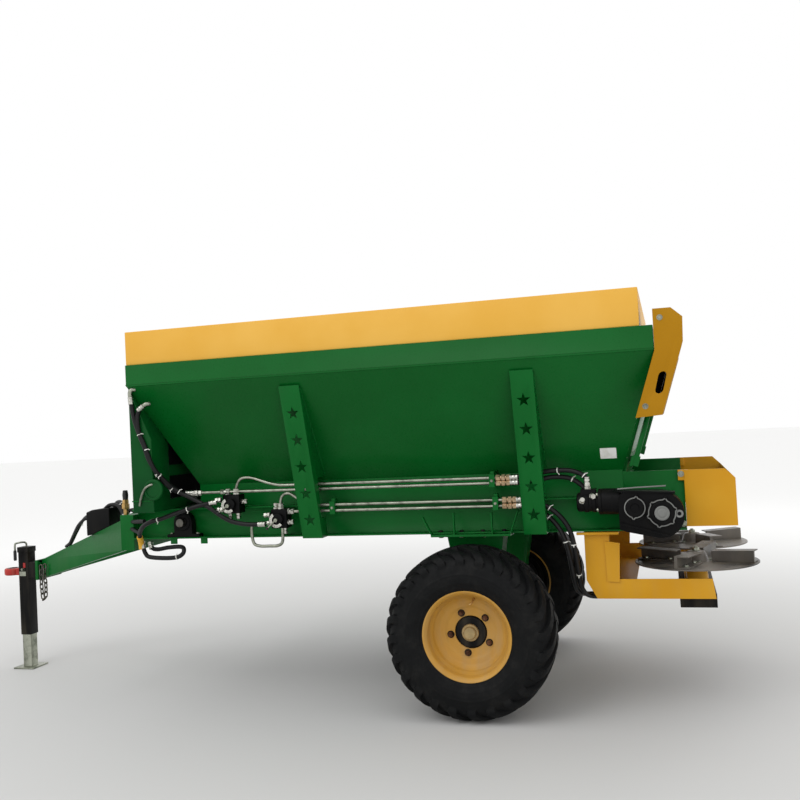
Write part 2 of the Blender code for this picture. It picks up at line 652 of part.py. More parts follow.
def build_star_brackets():
    """Stiffeners on the hopper's sides: a flange with five stars cut in it and a gusset behind it."""
    top_y = hopper_half(BRACKET_TOP) + 0.012
    foot_y, foot_z = BRACKET_FOOT_HALF_WIDTH, RAIL_Z
    lean = math.atan2(top_y - foot_y, BRACKET_TOP - foot_z)

    def face_y(z, inside=0.0):
        share = (z - foot_z) / (BRACKET_TOP - foot_z)
        return foot_y + share * (top_y - foot_y) - inside / math.cos(lean)

    for number, (place, lean_back) in enumerate(zip(BRACKET_PLACES, BRACKET_LEANS), 1):
        x0, x1 = AXLE_X + place - BRACKET_WIDTH / 2, AXLE_X + place + BRACKET_WIDTH / 2
        flange_outline = [(-face_y(foot_z), foot_z), (-face_y(BRACKET_TOP), BRACKET_TOP),
                          (-face_y(BRACKET_TOP, BRACKET_PLATE), BRACKET_TOP),
                          (-face_y(foot_z, BRACKET_PLATE), foot_z)]
        flange = prism("star_bracket_left_%d" % number, flange_outline, "X", x0, x1)
        mid = BRACKET_PLATE / 2
        touch = 0.0006
        against = [(-face_y(z, mid), z) for z in (foot_z, BRACKET_TOP)]
        against += [(-hopper_half(BRACKET_TOP) - touch, BRACKET_TOP),
                    (-hopper_half(NOTCH_HIGH) - touch, NOTCH_HIGH),
                    (-PIPE_HALF_WIDTH - 0.022, NOTCH_HIGH), (-PIPE_HALF_WIDTH - 0.022, NOTCH_LOW),
                    (-RAIL_HALF_WIDTH - GAP, NOTCH_LOW), (-RAIL_HALF_WIDTH - GAP, foot_z)]
        middle = (x0 + x1) / 2
        gusset = prism("gusset", against, "X", x1 - BRACKET_PLATE, x1)
        join(flange, gusset)
        cutters = []
        for index in range(STAR_COUNT):
            z = BRACKET_TOP - STAR_FIRST - index * STAR_PITCH
            outline = [(middle + dx, z + dz) for dx, dz in star(STAR_RADIUS)]
            deep = -face_y(z, BRACKET_PLATE + 0.012)
            cutters.append(prism("star_hole", outline, "Y", -1.5, deep))
        cut(flange, *cutters)
        for vertex in flange.data.vertices:
            vertex.co.x += lean_back * (vertex.co.z - foot_z) / (BRACKET_TOP - foot_z)
        finish(flange, "green")
        finish(copy_mirrored(flange, "star_bracket_right_%d" % number), "green")


# ---------------------------------------------------------------- gate
GATE_OUT = RUNNING_CLEARANCE
GATE_THICKNESS = 0.006
GATE_LOW_UP = (BELT_TOP + RUNNING_CLEARANCE + GATE_OUT - HOPPER_Z) / math.cos(REAR_LEAN)
GATE_HALF_WIDTH = WEB_INSIDE - RUNNING_CLEARANCE
ROD_OUT = 0.046
EAR_UP = 0.030
BARREL_LOW_UP = 0.342
BARREL_LENGTH = 0.345
ROD_IN_BARREL = 0.060


def build_gate():
    """Sliding gate on the rear slope with its ribs, ears and both cylinder rods."""
    gate = slope_block("gate", GATE_LOW_UP, GATE_LOW_UP + GATE_HEIGHT, GATE_OUT, GATE_OUT + GATE_THICKNESS,
                       -GATE_HALF_WIDTH, GATE_HALF_WIDTH)
    rib_out = ROD_OUT - ROD_RADIUS
    parts = []
    for up in (GATE_LOW_UP + 0.02, EAR_UP + 0.012):
        parts.append(slope_block("rib", up, up + 0.030, GATE_OUT + 0.003, rib_out,
                                 -GATE_HALF_WIDTH + 0.01, GATE_HALF_WIDTH - 0.01))
    for _, side in SIDES:
        y0, y1 = sorted((side * (GATE_HALF_WIDTH - 0.05), side * (CYLINDER_HALF_SPACING + 0.022)))
        parts.append(slope_block("ear", EAR_UP, EAR_UP + 0.050, rib_out - 0.010, rib_out + 0.004, y0, y1))
        y0, y1 = sorted((side * (CYLINDER_HALF_SPACING - 0.020), side * (CYLINDER_HALF_SPACING + 0.020)))
        parts.append(slope_block("clevis", EAR_UP + 0.004, EAR_UP + 0.054, rib_out - 0.004,
                                 ROD_OUT + 0.018, y0, y1))
        x0, z0 = on_slope(EAR_UP + 0.025, ROD_OUT)
        x1, z1 = on_slope(BARREL_LOW_UP + ROD_IN_BARREL, ROD_OUT)
        y = side * CYLINDER_HALF_SPACING
        parts.append(rod("rod", (x0, y, z0), (x1, y, z1), ROD_RADIUS, 16))
    join(gate, *parts)
    x, z = on_slope(GATE_LOW_UP, GATE_OUT)
    set_origin(gate, (x, 0.0, z))
    finish(gate, "green")


def build_gate_cylinders():
    """Barrels of the two gate cylinders, bored so that the rods run in them."""
    bore = ROD_RADIUS + SHAFT_CLEARANCE * 1.5
    for name, side in SIDES:
        profile = [(bore, 0.0), (BARREL_RADIUS, 0.0), (BARREL_RADIUS, BARREL_LENGTH),
                   (0.0, BARREL_LENGTH), (0.0, BARREL_LENGTH - 0.016), (bore, BARREL_LENGTH - 0.016)]
        barrel = lathe("gate_cylinder_" + name, profile, "Z", (0, 0, 0), 20)
        x, z = on_slope(BARREL_LOW_UP, ROD_OUT)
        barrel.data.transform(Matrix.Translation((x, side * CYLINDER_HALF_SPACING, z))
                              @ Matrix.Rotation(REAR_LEAN, 4, "Y"))
        y = side * CYLINDER_HALF_SPACING
        lug_up = HOPPER_HEIGHT / math.cos(REAR_LEAN) - 0.050
        lug = slope_block("lug", lug_up, lug_up + 0.036, GAP * 2, ROD_OUT, y - 0.014, y + 0.014)
        space = lathe("space", [(0.0, 0.0), (bore, 0.0), (bore, BARREL_LENGTH - 0.016),
                                (0.0, BARREL_LENGTH - 0.016)], "Z", (0, 0, 0), 20)
        space.data.transform(Matrix.Translation((x, y, z)) @ Matrix.Rotation(REAR_LEAN, 4, "Y"))
        join(barrel, lug)
        cut(barrel, space)
        finish(barrel, "steel")


COVER_LOW_UP = 0.262
COVER_SHEET = 0.004
COVER_TOP = BAND_TOP + 0.072
COVER_OUTSIDE = HOPPER_HALF_TOP + 0.010
COVER_INSIDE = 0.575


def cover_outline(inset):
    """Side view of a cylinder cover, moved inwards by the sheet's thickness where asked."""
    low_x, low_z = on_slope(COVER_LOW_UP - inset * 6, GAP * 2)
    back_x, back_z = on_slope(COVER_LOW_UP - inset * 6 + 0.045, COVER_DEPTH - inset)
    top_back_up = (BAND_TOP - 0.050 - HOPPER_Z) / math.cos(REAR_LEAN)
    high_x, high_z = on_slope(top_back_up, COVER_DEPTH - inset)
    edge = REAR_TOP_X + 0.002
    bend_z = HOPPER_TOP
    return [(low_x, low_z), (back_x, back_z), (high_x, high_z), (high_x + 0.004, COVER_TOP - 0.045 - inset),
            (high_x - 0.045, COVER_TOP - inset), (edge, COVER_TOP - inset), (edge, bend_z)]


def build_cylinder_covers():
    """Folded sheet covers over the gate cylinders, open to the hopper and at the foot."""
    for name, side in SIDES:
        y0, y1 = sorted((side * COVER_INSIDE, side * COVER_OUTSIDE))
        cover = prism("cylinder_cover_" + name, cover_outline(0.0), "Y", y0, y1)
        inner = cover_outline(COVER_SHEET)
        shifted = [(x - 0.004 if index in (0, 5, 6) else x, z) for index, (x, z) in enumerate(inner)]
        depth = sorted((side * (COVER_INSIDE - 0.1), side * (COVER_OUTSIDE - COVER_SHEET)))
        hollow = prism("hollow", shifted, "Y", *depth)
        slot_y = sorted((side * (COVER_OUTSIDE - 0.03), side * (COVER_OUTSIDE + 0.03)))
        middle = on_slope(COVER_LOW_UP + 0.185, COVER_DEPTH * 0.60)
        slot = []
        for dx, dz in arc(0.0, 0.032, 0.018, 0, 180, 6) + arc(0.0, -0.032, 0.018, 180, 360, 6):
            slot.append((middle[0] + dx + dz * math.tan(REAR_LEAN * 0.8), middle[1] + dz))
        cut(cover, hollow, prism("slot", slot, "Y", *slot_y))
        finish(cover, "yellow")


# ---------------------------------------------------------------- chute and spinners
CHUTE_HALF = WEB_HALF_WIDTH + 0.020
CHUTE_LOW = RAIL_Z + 0.012
CHUTE_TOP = HOPPER_Z - 0.012


def build_chute():
    """Three-sided chute behind the belt, open at the front and the bottom."""
    x0, x1 = PLATE_REAR_X - 0.030, AXLE_X + CHUTE_FRONT_BEHIND + CHUTE_LENGTH
    side_outline = [(x0, CHUTE_LOW), (x1, CHUTE_LOW), (x1, CHUTE_TOP - CHUTE_CORNER),
                    (x1 - CHUTE_CORNER, CHUTE_TOP), (x0, CHUTE_TOP)]
    chute = prism("chute", side_outline, "Y", -CHUTE_HALF, CHUTE_HALF)
    inside = block("inside", x0 - 1.0, x1 - CHUTE_SHEET, -CHUTE_HALF + CHUTE_SHEET, CHUTE_HALF - CHUTE_SHEET,
                   CHUTE_LOW - 1.0, CHUTE_TOP + 1.0)
    cut(chute, inside)
    back = block("back", x0 - 1.0, PLATE_REAR_X + GAP, -1.0, 1.0, CHUTE_LOW - 1.0, CHUTE_TOP + 1.0)
    cut(chute, back)
    for _, side in SIDES:
        y0, y1 = sorted((side * (WEB_HALF_WIDTH + GAP), side * (CHUTE_HALF - CHUTE_SHEET / 2)))
        join(chute, block("tab", PLATE_REAR_X - 0.028, PLATE_REAR_X + 0.02, y0, y1, CHUTE_TOP - 0.05, CHUTE_TOP),
             block("tab", PLATE_REAR_X - 0.028, PLATE_REAR_X + 0.02, y0, y1, CHUTE_LOW, CHUTE_LOW + 0.012))
    shaft_x = AXLE_X + REAR_SHAFT_BEHIND
    cut(chute, rod("notch", (shaft_x, -1.0, SHAFT_Z), (shaft_x, 1.0, SHAFT_Z), NECK_RADIUS + 0.003, 24))
    finish(chute, "yellow")


SPINNER_X = AXLE_X + DISC_BEHIND
SPINDLE_RADIUS = 0.020


def build_spinner_tray():
    """Hanging frame for the discs: a front wall, two side lips, a cross beam and the two disc motors."""
    x0, x1 = AXLE_X + TRAY_FRONT_BEHIND, AXLE_X + TRAY_REAR_BEHIND
    half = TRAY_HALF_WIDTH
    top = RAIL_Z - GAP
    wall_depth = 0.120
    inset = TRAY_INSET
    thick = TRAY_SHEET + inset
    folded = [(x0 + inset, top - inset), (x0 + inset, TRAY_Z + 0.092), (x0 + TRAY_CHAMFER + inset, TRAY_Z + inset),
              (x0 + 0.220, TRAY_Z + inset), (x0 + 0.220, TRAY_Z + thick), (x0 + TRAY_CHAMFER + 0.005, TRAY_Z + thick),
              (x0 + thick, TRAY_Z + 0.095), (x0 + thick, top - thick), (x0 + wall_depth - inset, top - thick),
              (x0 + wall_depth - inset, top - inset)]
    tray = prism("spinner_tray", folded, "Y", -half + inset, half - inset)
    pieces = []
    for _, side in SIDES:
        y0, y1 = sorted((side * half, side * (half - TRAY_SHEET)))
        outline = [(x0, top), (x0, TRAY_Z + 0.09), (x0 + TRAY_CHAMFER, TRAY_Z), (x1, TRAY_Z),
                   (x1 - 0.012, TRAY_Z + TRAY_LIP), (x0 + wall_depth, TRAY_Z + TRAY_LIP),
                   (x0 + wall_depth, top)]
        pieces.append(prism("side", outline, "Y", y0, y1))
    pieces.append(block("cross_beam", SPINNER_X - 0.06, SPINNER_X + 0.06, -half + inset, half - inset,
                        TRAY_Z + inset, TRAY_Z + 0.030))
    for _, side in SIDES:
        y = side * DISC_SPACING / 2
        pieces.append(rod("motor", (SPINNER_X, y, TRAY_Z + 0.014), (SPINNER_X, y, DISC_Z - DISC_THICKNESS
                          - RUNNING_CLEARANCE - 0.024), 0.052, 20))
        pieces.append(rod("spindle", (SPINNER_X, y, TRAY_Z + 0.040), (SPINNER_X, y, DISC_Z - DISC_THICKNESS
                          - 0.010), SPINDLE_RADIUS, 16))
    join(tray, *pieces)
    finish(tray, "yellow")


def build_spinners():
    """Two bladed discs, each with a hub under it that sits over its motor's spindle."""
    under = DISC_Z - DISC_THICKNESS
    for name, side in SIDES:
        y = side * DISC_SPACING / 2
        hub_low = under - RUNNING_CLEARANCE - 0.012
        profile = [(SPINDLE_RADIUS + SHAFT_CLEARANCE, hub_low), (0.048, hub_low), (0.048, under),
                   (DISC_RADIUS, under), (DISC_RADIUS, DISC_Z), (0.060, DISC_Z), (0.045, DISC_Z + 0.045),
                   (0.0, DISC_Z + 0.050), (0.0, under - 0.008), (SPINDLE_RADIUS + SHAFT_CLEARANCE, under - 0.009)]
        disc = lathe("spinner_" + name, profile, "Z", (SPINNER_X, y, 0.0), 28)
        vanes = []
        for index in range(VANE_COUNT):
            turn = Matrix.Rotation(2 * math.pi * index / VANE_COUNT + side * math.radians(20), 4, "Z")
            outline = [(-0.012, DISC_Z - 0.004), (0.060, DISC_Z - 0.004), (0.060, DISC_Z + 0.006),
                       (0.0, DISC_Z + 0.006), (0.0, DISC_Z + VANE_HEIGHT - 0.006),
                       (0.060, DISC_Z + VANE_HEIGHT - 0.006), (0.060, DISC_Z + VANE_HEIGHT),
                       (-0.012, DISC_Z + VANE_HEIGHT)]
            vane = prism("vane", outline, "X", 0.080, DISC_RADIUS - 0.014)
            vane.data.transform(Matrix.Translation((SPINNER_X, y, 0.0)) @ turn)
            vanes.append(vane)
        join(disc, *vanes)
        set_origin(disc, (SPINNER_X, y, DISC_Z))
        finish(disc, "black")


def build_under_bar():
    """Black bar across the machine under the rear of the tray."""
    x1 = AXLE_X + TRAY_REAR_BEHIND
    finish(block("under_bar", x1 - 0.165, x1 + 0.008, -0.52, 0.52,
                 TRAY_Z - 0.066, TRAY_Z + TRAY_INSET - GAP), "black")


# ---------------------------------------------------------------- axle and wheels
AXLE_TUBE = 0.090
MOUNT_THICKNESS = 0.012
MOUNT_HALF_LENGTH = 0.205
PEDESTAL_HALF_LENGTH = 0.150
SPINDLE_END = TRACK / 2 - 0.015
STUB_RADIUS = 0.030
INNER_TYRE_FACE = TRACK / 2 - TYRE_WIDTH / 2


def build_axle():
    """Square axle with stub spindles, and the welded pedestals and seat plates under the rails."""
    tube_half = INNER_TYRE_FACE - 0.012
    axle = block("axle", AXLE_X - AXLE_TUBE / 2, AXLE_X + AXLE_TUBE / 2, -tube_half, tube_half,
                 AXLE_Z - AXLE_TUBE / 2, AXLE_Z + AXLE_TUBE / 2)
    pieces = [rod("stub", (AXLE_X, -SPINDLE_END, AXLE_Z), (AXLE_X, SPINDLE_END, AXLE_Z), STUB_RADIUS, 20)]
    seat_top = RAIL_Z - GAP
    seat_low = seat_top - MOUNT_THICKNESS
    for _, side in SIDES:
        y0, y1 = sorted((side * (RAIL_HALF_WIDTH + 0.004), side * 0.40))
        pieces.append(block("seat", AXLE_X - MOUNT_HALF_LENGTH, AXLE_X + MOUNT_HALF_LENGTH, y0, y1,
                            seat_low, seat_top))
        y0, y1 = sorted((side * (tube_half - 0.010), side * 0.42))
        outline = [(AXLE_X - PEDESTAL_HALF_LENGTH, seat_low + 0.004), (AXLE_X - 0.07, AXLE_Z - 0.03),
                   (AXLE_X + 0.07, AXLE_Z - 0.03), (AXLE_X + PEDESTAL_HALF_LENGTH, seat_low + 0.004)]
        pieces.append(prism("pedestal", outline, "Y", y0, y1))
    join(axle, *pieces)
    finish(axle, "black")


DISH_OUT = 0.030             # outer face of the wheel disc from the tyre's middle plane
DISH_THICKNESS = 0.009
STUD_CIRCLE = 0.205
BORE_RADIUS = 0.0805


def wheel_piece(name, profile, side, steps):
    """Turns a profile whose distances point outwards from the wheel's middle plane."""
    mirrored = [(radius, side * distance) for radius, distance in profile]
    piece = lathe(name, mirrored, "Y", (AXLE_X, side * TRACK / 2, AXLE_Z), steps)
    return set_origin(piece, (AXLE_X, side * TRACK / 2, AXLE_Z))


def build_wheels():
    """Each wheel's hub, rim and tyre, which turn together."""
    lip = RIM_DIAMETER / 2
    half = RIM_WIDTH / 2
    seat = lip - 0.018
    well = lip - 0.052
    wall = 0.006
    rim_profile = [
        (lip, -half), (lip, -half + 0.008), (seat, -half + 0.014), (seat, -half + 0.050),
        (well, -half + 0.075), (well, half - 0.110), (seat, half - 0.050), (seat, half - 0.014),
        (lip, half - 0.008), (lip, half), (lip - 0.008, half), (seat - wall, half - 0.018),
        (seat - wall, half - 0.050), (well - wall, half - 0.106), (0.125, DISH_OUT + 0.006),
        (0.118, DISH_OUT), (BORE_RADIUS, DISH_OUT), (BORE_RADIUS, DISH_OUT - DISH_THICKNESS),
        (0.122, DISH_OUT - DISH_THICKNESS), (well - wall, DISH_OUT - 0.020),
        (well - wall, -half + 0.079), (seat - wall, -half + 0.052),
        (seat - wall, -half + 0.018), (lip - 0.008, -half)]
    outer = TYRE_DIAMETER / 2
    wide = TYRE_WIDTH / 2
    tyre_profile = [
        (seat + GAP * 2, -half + 0.0155), (lip + GAP, -half + 0.0094), (lip + GAP, -half + 0.002),
        (lip + 0.030, -wide + 0.010), (lip + 0.070, -wide), (outer - 0.070, -wide + 0.006),
        (outer - 0.030, -wide + 0.022), (outer - 0.008, -wide + 0.046), (outer, -wide * 0.45),
        (outer, wide * 0.45), (outer - 0.008, wide - 0.046), (outer - 0.030, wide - 0.022),
        (outer - 0.070, wide - 0.006), (lip + 0.070, wide), (lip + 0.030, wide - 0.010),
        (lip + GAP, half - 0.002), (lip + GAP, half - 0.0094), (seat + GAP * 2, half - 0.0155)]
    hub_bore = STUB_RADIUS + SHAFT_CLEARANCE
    flange = DISH_OUT - DISH_THICKNESS - GAP
    hub_in = -(TRACK / 2 - INNER_TYRE_FACE) + 0.004
    cap = 0.072
    hub_profile = [
        (hub_bore, hub_in), (0.058, hub_in), (0.060, flange - 0.014), (0.118, flange - 0.014),
        (0.118, flange), (BORE_RADIUS - 0.004, flange), (BORE_RADIUS - 0.006, DISH_OUT + 0.004),
        (0.048, DISH_OUT + 0.008), (0.040, cap - 0.006), (0.026, cap), (0.0, cap),
        (0.0, SPINDLE_END - TRACK / 2 + 0.006), (hub_bore, SPINDLE_END - TRACK / 2 + 0.006)]
    for name, side in SIDES:
        finish(wheel_piece("hub_" + name, hub_profile, side, 16), "black")
        finish(wheel_piece("wheel_rim_" + name, rim_profile, side, 28), "yellow")
        finish(wheel_piece("tyre_" + name, tyre_profile, side, 28), "rubber")


# ---------------------------------------------------------------- drawbar, eye and jack
DRAWBAR_REAR_X = AXLE_X - FRAME_AHEAD - GAP
DRAWBAR_Z = RAIL_Z - DRAWBAR_DROP
NOSE_X = AXLE_X - NOSE_AHEAD
CROSS_BEAM_DEPTH = 0.085
BEAM_REAR_X = DRAWBAR_REAR_X - CROSS_BEAM_DEPTH + 0.02
BEAM_NOSE_X = NOSE_X + 0.012
BEAM_NOSE_HALF = BEAM_WIDTH + 0.012


def beam_share(x):
    """How far along a drawbar beam a place is, from 0 at the nose to 1 at the rear."""
    return (x - BEAM_NOSE_X) / (BEAM_REAR_X - BEAM_NOSE_X)


def beam_top(x):
    """Height of the drawbar beams' upper faces."""
    low = NOSE_BOTTOM + NOSE_HEIGHT
    return low + beam_share(x) * (DRAWBAR_Z + DRAWBAR_HEIGHT - low)


def beam_outside(x):
    """Distance of the drawbar beams' outer faces from the middle plane."""
    return BEAM_NOSE_HALF + beam_share(x) * (DRAWBAR_HALF_WIDTH - BEAM_NOSE_HALF)


def build_drawbar():
    """A-frame drawbar: two beams from a cross beam on the rails' ends to a nose plate."""
    rear = DRAWBAR_REAR_X
    bar = block("drawbar", rear - CROSS_BEAM_DEPTH, rear, -RAIL_HALF_WIDTH + 0.01, RAIL_HALF_WIDTH - 0.01,
                DRAWBAR_Z, RAIL_TOP - 0.03)
    pieces = []
    for _, side in SIDES:
        outer_rear, inner_rear = side * DRAWBAR_HALF_WIDTH, side * (DRAWBAR_HALF_WIDTH - BEAM_WIDTH * 1.1)
        outer_nose, inner_nose = side * BEAM_NOSE_HALF, side * 0.004
        x_rear, x_nose = BEAM_REAR_X, BEAM_NOSE_X
        corners = [(x_nose, outer_nose, NOSE_BOTTOM), (x_rear, outer_rear, DRAWBAR_Z),
                   (x_rear, inner_rear, DRAWBAR_Z), (x_nose, inner_nose, NOSE_BOTTOM),
                   (x_nose, outer_nose, NOSE_BOTTOM + NOSE_HEIGHT),
                   (x_rear, outer_rear, DRAWBAR_Z + DRAWBAR_HEIGHT),
                   (x_rear, inner_rear, DRAWBAR_Z + DRAWBAR_HEIGHT),
                   (x_nose, inner_nose, NOSE_BOTTOM + NOSE_HEIGHT)]
        pieces.append(hexahedron("beam", corners))
    pieces.append(block("nose", NOSE_X, NOSE_X + 0.020, -JACK_SIDE - JACK_TUBE / 2, 0.100,
                        NOSE_BOTTOM - 0.004, NOSE_BOTTOM + NOSE_HEIGHT + 0.004))
    join(bar, *pieces)
    finish(bar, "green")


def build_towing_eye():
    """Red towing tongue on the nose plate, ending in an eye."""
    middle_z = NOSE_BOTTOM + 0.032
    z0, z1 = middle_z - TONGUE_THICKNESS / 2, middle_z + TONGUE_THICKNESS / 2
    eye_x = AXLE_X - EYE_AHEAD + EYE_RADIUS
    half = TONGUE_WIDTH / 2
    start = math.degrees(math.asin(half / EYE_RADIUS))
    outline = [(NOSE_X - 0.020, -half), (NOSE_X - 0.020, half)]
    outline += arc(eye_x, 0.0, EYE_RADIUS, start, 360 - start, 24)
    eye = prism("towing_eye", outline, "Z", z0, z1)
    join(eye, block("foot", NOSE_X - 0.022, NOSE_X - GAP, -0.060, 0.060, middle_z - 0.032, middle_z + 0.080))
    cut(eye, rod("hole", (eye_x, 0.0, z0 - 0.1), (eye_x, 0.0, z1 + 0.1), EYE_HOLE_RADIUS, 24))
    finish(eye, "red")


JACK_X = AXLE_X - JACK_AHEAD
JACK_Y = -JACK_SIDE
LEG_SIZE = JACK_TUBE - 2 * JACK_WALL - 2 * SHAFT_CLEARANCE
LEG_TOP = JACK_TUBE_TOP - 0.250


def square(name, half, z0, z1):
    """A square block centred on the jack."""
    return block(name, JACK_X - half, JACK_X + half, JACK_Y - half, JACK_Y + half, z0, z1)


def build_jack():
    """Parking jack: a square outer tube clamped to the nose plate, and a leg that slides in it."""
    outer = square("jack_tube", JACK_TUBE / 2, JACK_TUBE_BOTTOM, JACK_TUBE_TOP)
    inner = square("inner", JACK_TUBE / 2 - JACK_WALL, JACK_TUBE_BOTTOM - 0.1, JACK_TUBE_TOP - 0.020)
    clamp = block("clamp", JACK_X + JACK_TUBE / 2 - 0.004, NOSE_X - GAP, JACK_Y - 0.034, JACK_Y + 0.030,
                  NOSE_BOTTOM + 0.010, NOSE_BOTTOM + NOSE_HEIGHT - 0.010)
    head = square("head", JACK_TUBE / 2 + 0.004, JACK_TUBE_TOP - 0.030, JACK_TUBE_TOP + 0.004)
    join(outer, clamp, head)
    cut(outer, inner)
    finish(outer, "black")
    leg = square("jack_leg", LEG_SIZE / 2, 0.0, LEG_TOP)
    foot = square("foot", JACK_FOOT / 2, 0.0, JACK_FOOT_THICKNESS)
    join(leg, foot)
    set_origin(leg, (JACK_X, JACK_Y, 0.0))
    finish(leg, "steel")


def build_chain():
    """Safety chain hanging from the nose plate and the left beam, as one plain round bar along its curve."""
    x = NOSE_X + 0.020 + CHAIN_RADIUS + 2 * GAP
    y = -JACK_SIDE - 0.023
    end_x = x + 0.056
    end_y = -beam_outside(end_x + CHAIN_RADIUS) - CHAIN_RADIUS * 1.2 - 0.001
    top = NOSE_BOTTOM + NOSE_HEIGHT - 0.030
    points = [(x, y, top), (x, y, top - 0.070), (x + 0.001, y, top - 0.140), (x + 0.006, y, top - 0.195),
              (x + 0.018, y - 0.004, top - 0.222), (x + 0.036, y - 0.008, top - 0.195),
              (x + 0.046, (y + end_y) / 2 - 0.004, top - 0.130), (x + 0.052, end_y, top - 0.060),
              (end_x, end_y, top + 0.010)]
    chain = tube("safety_chain", points, CHAIN_RADIUS, 4, 1)
    finish(chain, "steel")


# ---------------------------------------------------------------- hydraulics
VALVE_A_X = AXLE_X - 1.294
VALVE_B_X = AXLE_X - 1.020
VALVE_A_Z = RAIL_TOP + 0.022
VALVE_B_Z = RAIL_Z + 0.105
UPPER_PIPE_Z = (HOPPER_Z - 0.014, HOPPER_Z - 0.040)
LOWER_PIPE_Z = (RAIL_TOP + 0.002, RAIL_TOP - 0.028)
PIPE_REAR_X = AXLE_X + 0.125
FITTING_RADIUS = 0.0135


def build_valves():
    """Two flow valves on the left rail, each a block with a round dial boss."""
    for name, x, z, half in (("flow_valve_front", VALVE_A_X, VALVE_A_Z, 0.048),
                             ("flow_valve_rear", VALVE_B_X, VALVE_B_Z, 0.044)):
        y1 = -RAIL_HALF_WIDTH - GAP
        valve = block(name, x - half, x + half, y1 - 0.072, y1, z - 0.050, z + 0.050)
        boss = rod("boss", (x, y1 - 0.095, z), (x, y1 - 0.04, z), 0.030, 20)
        finish(join(valve, boss), "black")


def build_pipes():
    """Two pairs of steel pipes along the left rail, each pair held in clamp blocks."""
    y = -PIPE_HALF_WIDTH
    top = VALVE_A_Z + 0.050 + GAP
    z1, z2 = UPPER_PIPE_Z
    first = [(VALVE_A_X + 0.020, y, top), (VALVE_A_X + 0.020, y, top + 0.034), (VALVE_A_X + 0.050, y, top + 0.068),
             (VALVE_A_X + 0.110, y, z1 + 0.020), (VALVE_A_X + 0.200, y, z1 + 0.002), (VALVE_A_X + 0.270, y, z1)]
    second = [(VALVE_A_X - 0.190, y, z2 - 0.012), (VALVE_A_X - 0.05, y, z2), (VALVE_A_X + 0.05, y, z2),
              (PIPE_REAR_X, y, z2)]
    upper = tube("pipes_upper", first, PIPE_RADIUS, 5, 2)
    run = rod("run", (VALVE_A_X + 0.262, y, z1), (PIPE_REAR_X, y, z1), PIPE_RADIUS, 12)
    low = rod("low", (VALVE_A_X - 0.190, y, z2), (PIPE_REAR_X, y, z2), PIPE_RADIUS, 12)
    block_front = block("clamp", PIPE_REAR_X - 0.030, PIPE_REAR_X - 0.006, y - 0.014, -WEB_HALF_WIDTH - GAP,
                        z2 - 0.014, HOPPER_Z - 0.003)
    block_mid = block("clamp", AXLE_X - 0.79, AXLE_X - 0.766, y - 0.014, -WEB_HALF_WIDTH - GAP,
                      z2 - 0.014, HOPPER_Z - 0.003)
    ends = [rod("end", (PIPE_REAR_X - 0.002, y, z), (PIPE_REAR_X + 0.085, y, z), FITTING_RADIUS, 12)
            for z in UPPER_PIPE_Z]
    join(upper, run, low, block_front, block_mid, *ends)
    finish(upper, "steel")
    z3, z4 = LOWER_PIPE_Z
    start = VALVE_B_Z + 0.050 + GAP
    arch = [(VALVE_B_X + 0.004, y, start), (VALVE_B_X + 0.004, y, start + 0.026), (VALVE_B_X + 0.016, y, z3 + 0.050),
            (VALVE_B_X + 0.044, y, z3 + 0.062), (VALVE_B_X + 0.078, y, z3 + 0.050),
            (VALVE_B_X + 0.120, y, z3 + 0.018), (VALVE_B_X + 0.165, y, z3 + 0.002), (VALVE_B_X + 0.230, y, z3)]
    lower = tube("pipes_lower", arch, PIPE_RADIUS, 5, 2)
    run = rod("run", (VALVE_B_X + 0.222, y, z3), (PIPE_REAR_X, y, z3), PIPE_RADIUS, 12)
    low = rod("low", (VALVE_B_X + 0.044 + GAP, y, z4), (PIPE_REAR_X, y, z4), PIPE_RADIUS, 12)
    clamps = []
    for x in (AXLE_X - 0.78, PIPE_REAR_X - 0.018):
        clamps.append(block("clamp", x - 0.012, x + 0.012, y - 0.014, -RAIL_HALF_WIDTH - GAP,
                            z4 - 0.014, z3 + 0.014))
    ends = [rod("end", (PIPE_REAR_X - 0.002, y, z), (PIPE_REAR_X + 0.085, y, z), FITTING_RADIUS, 12)
            for z in LOWER_PIPE_Z]
    join(lower, run, low, *clamps, *ends)
    finish(lower, "steel")


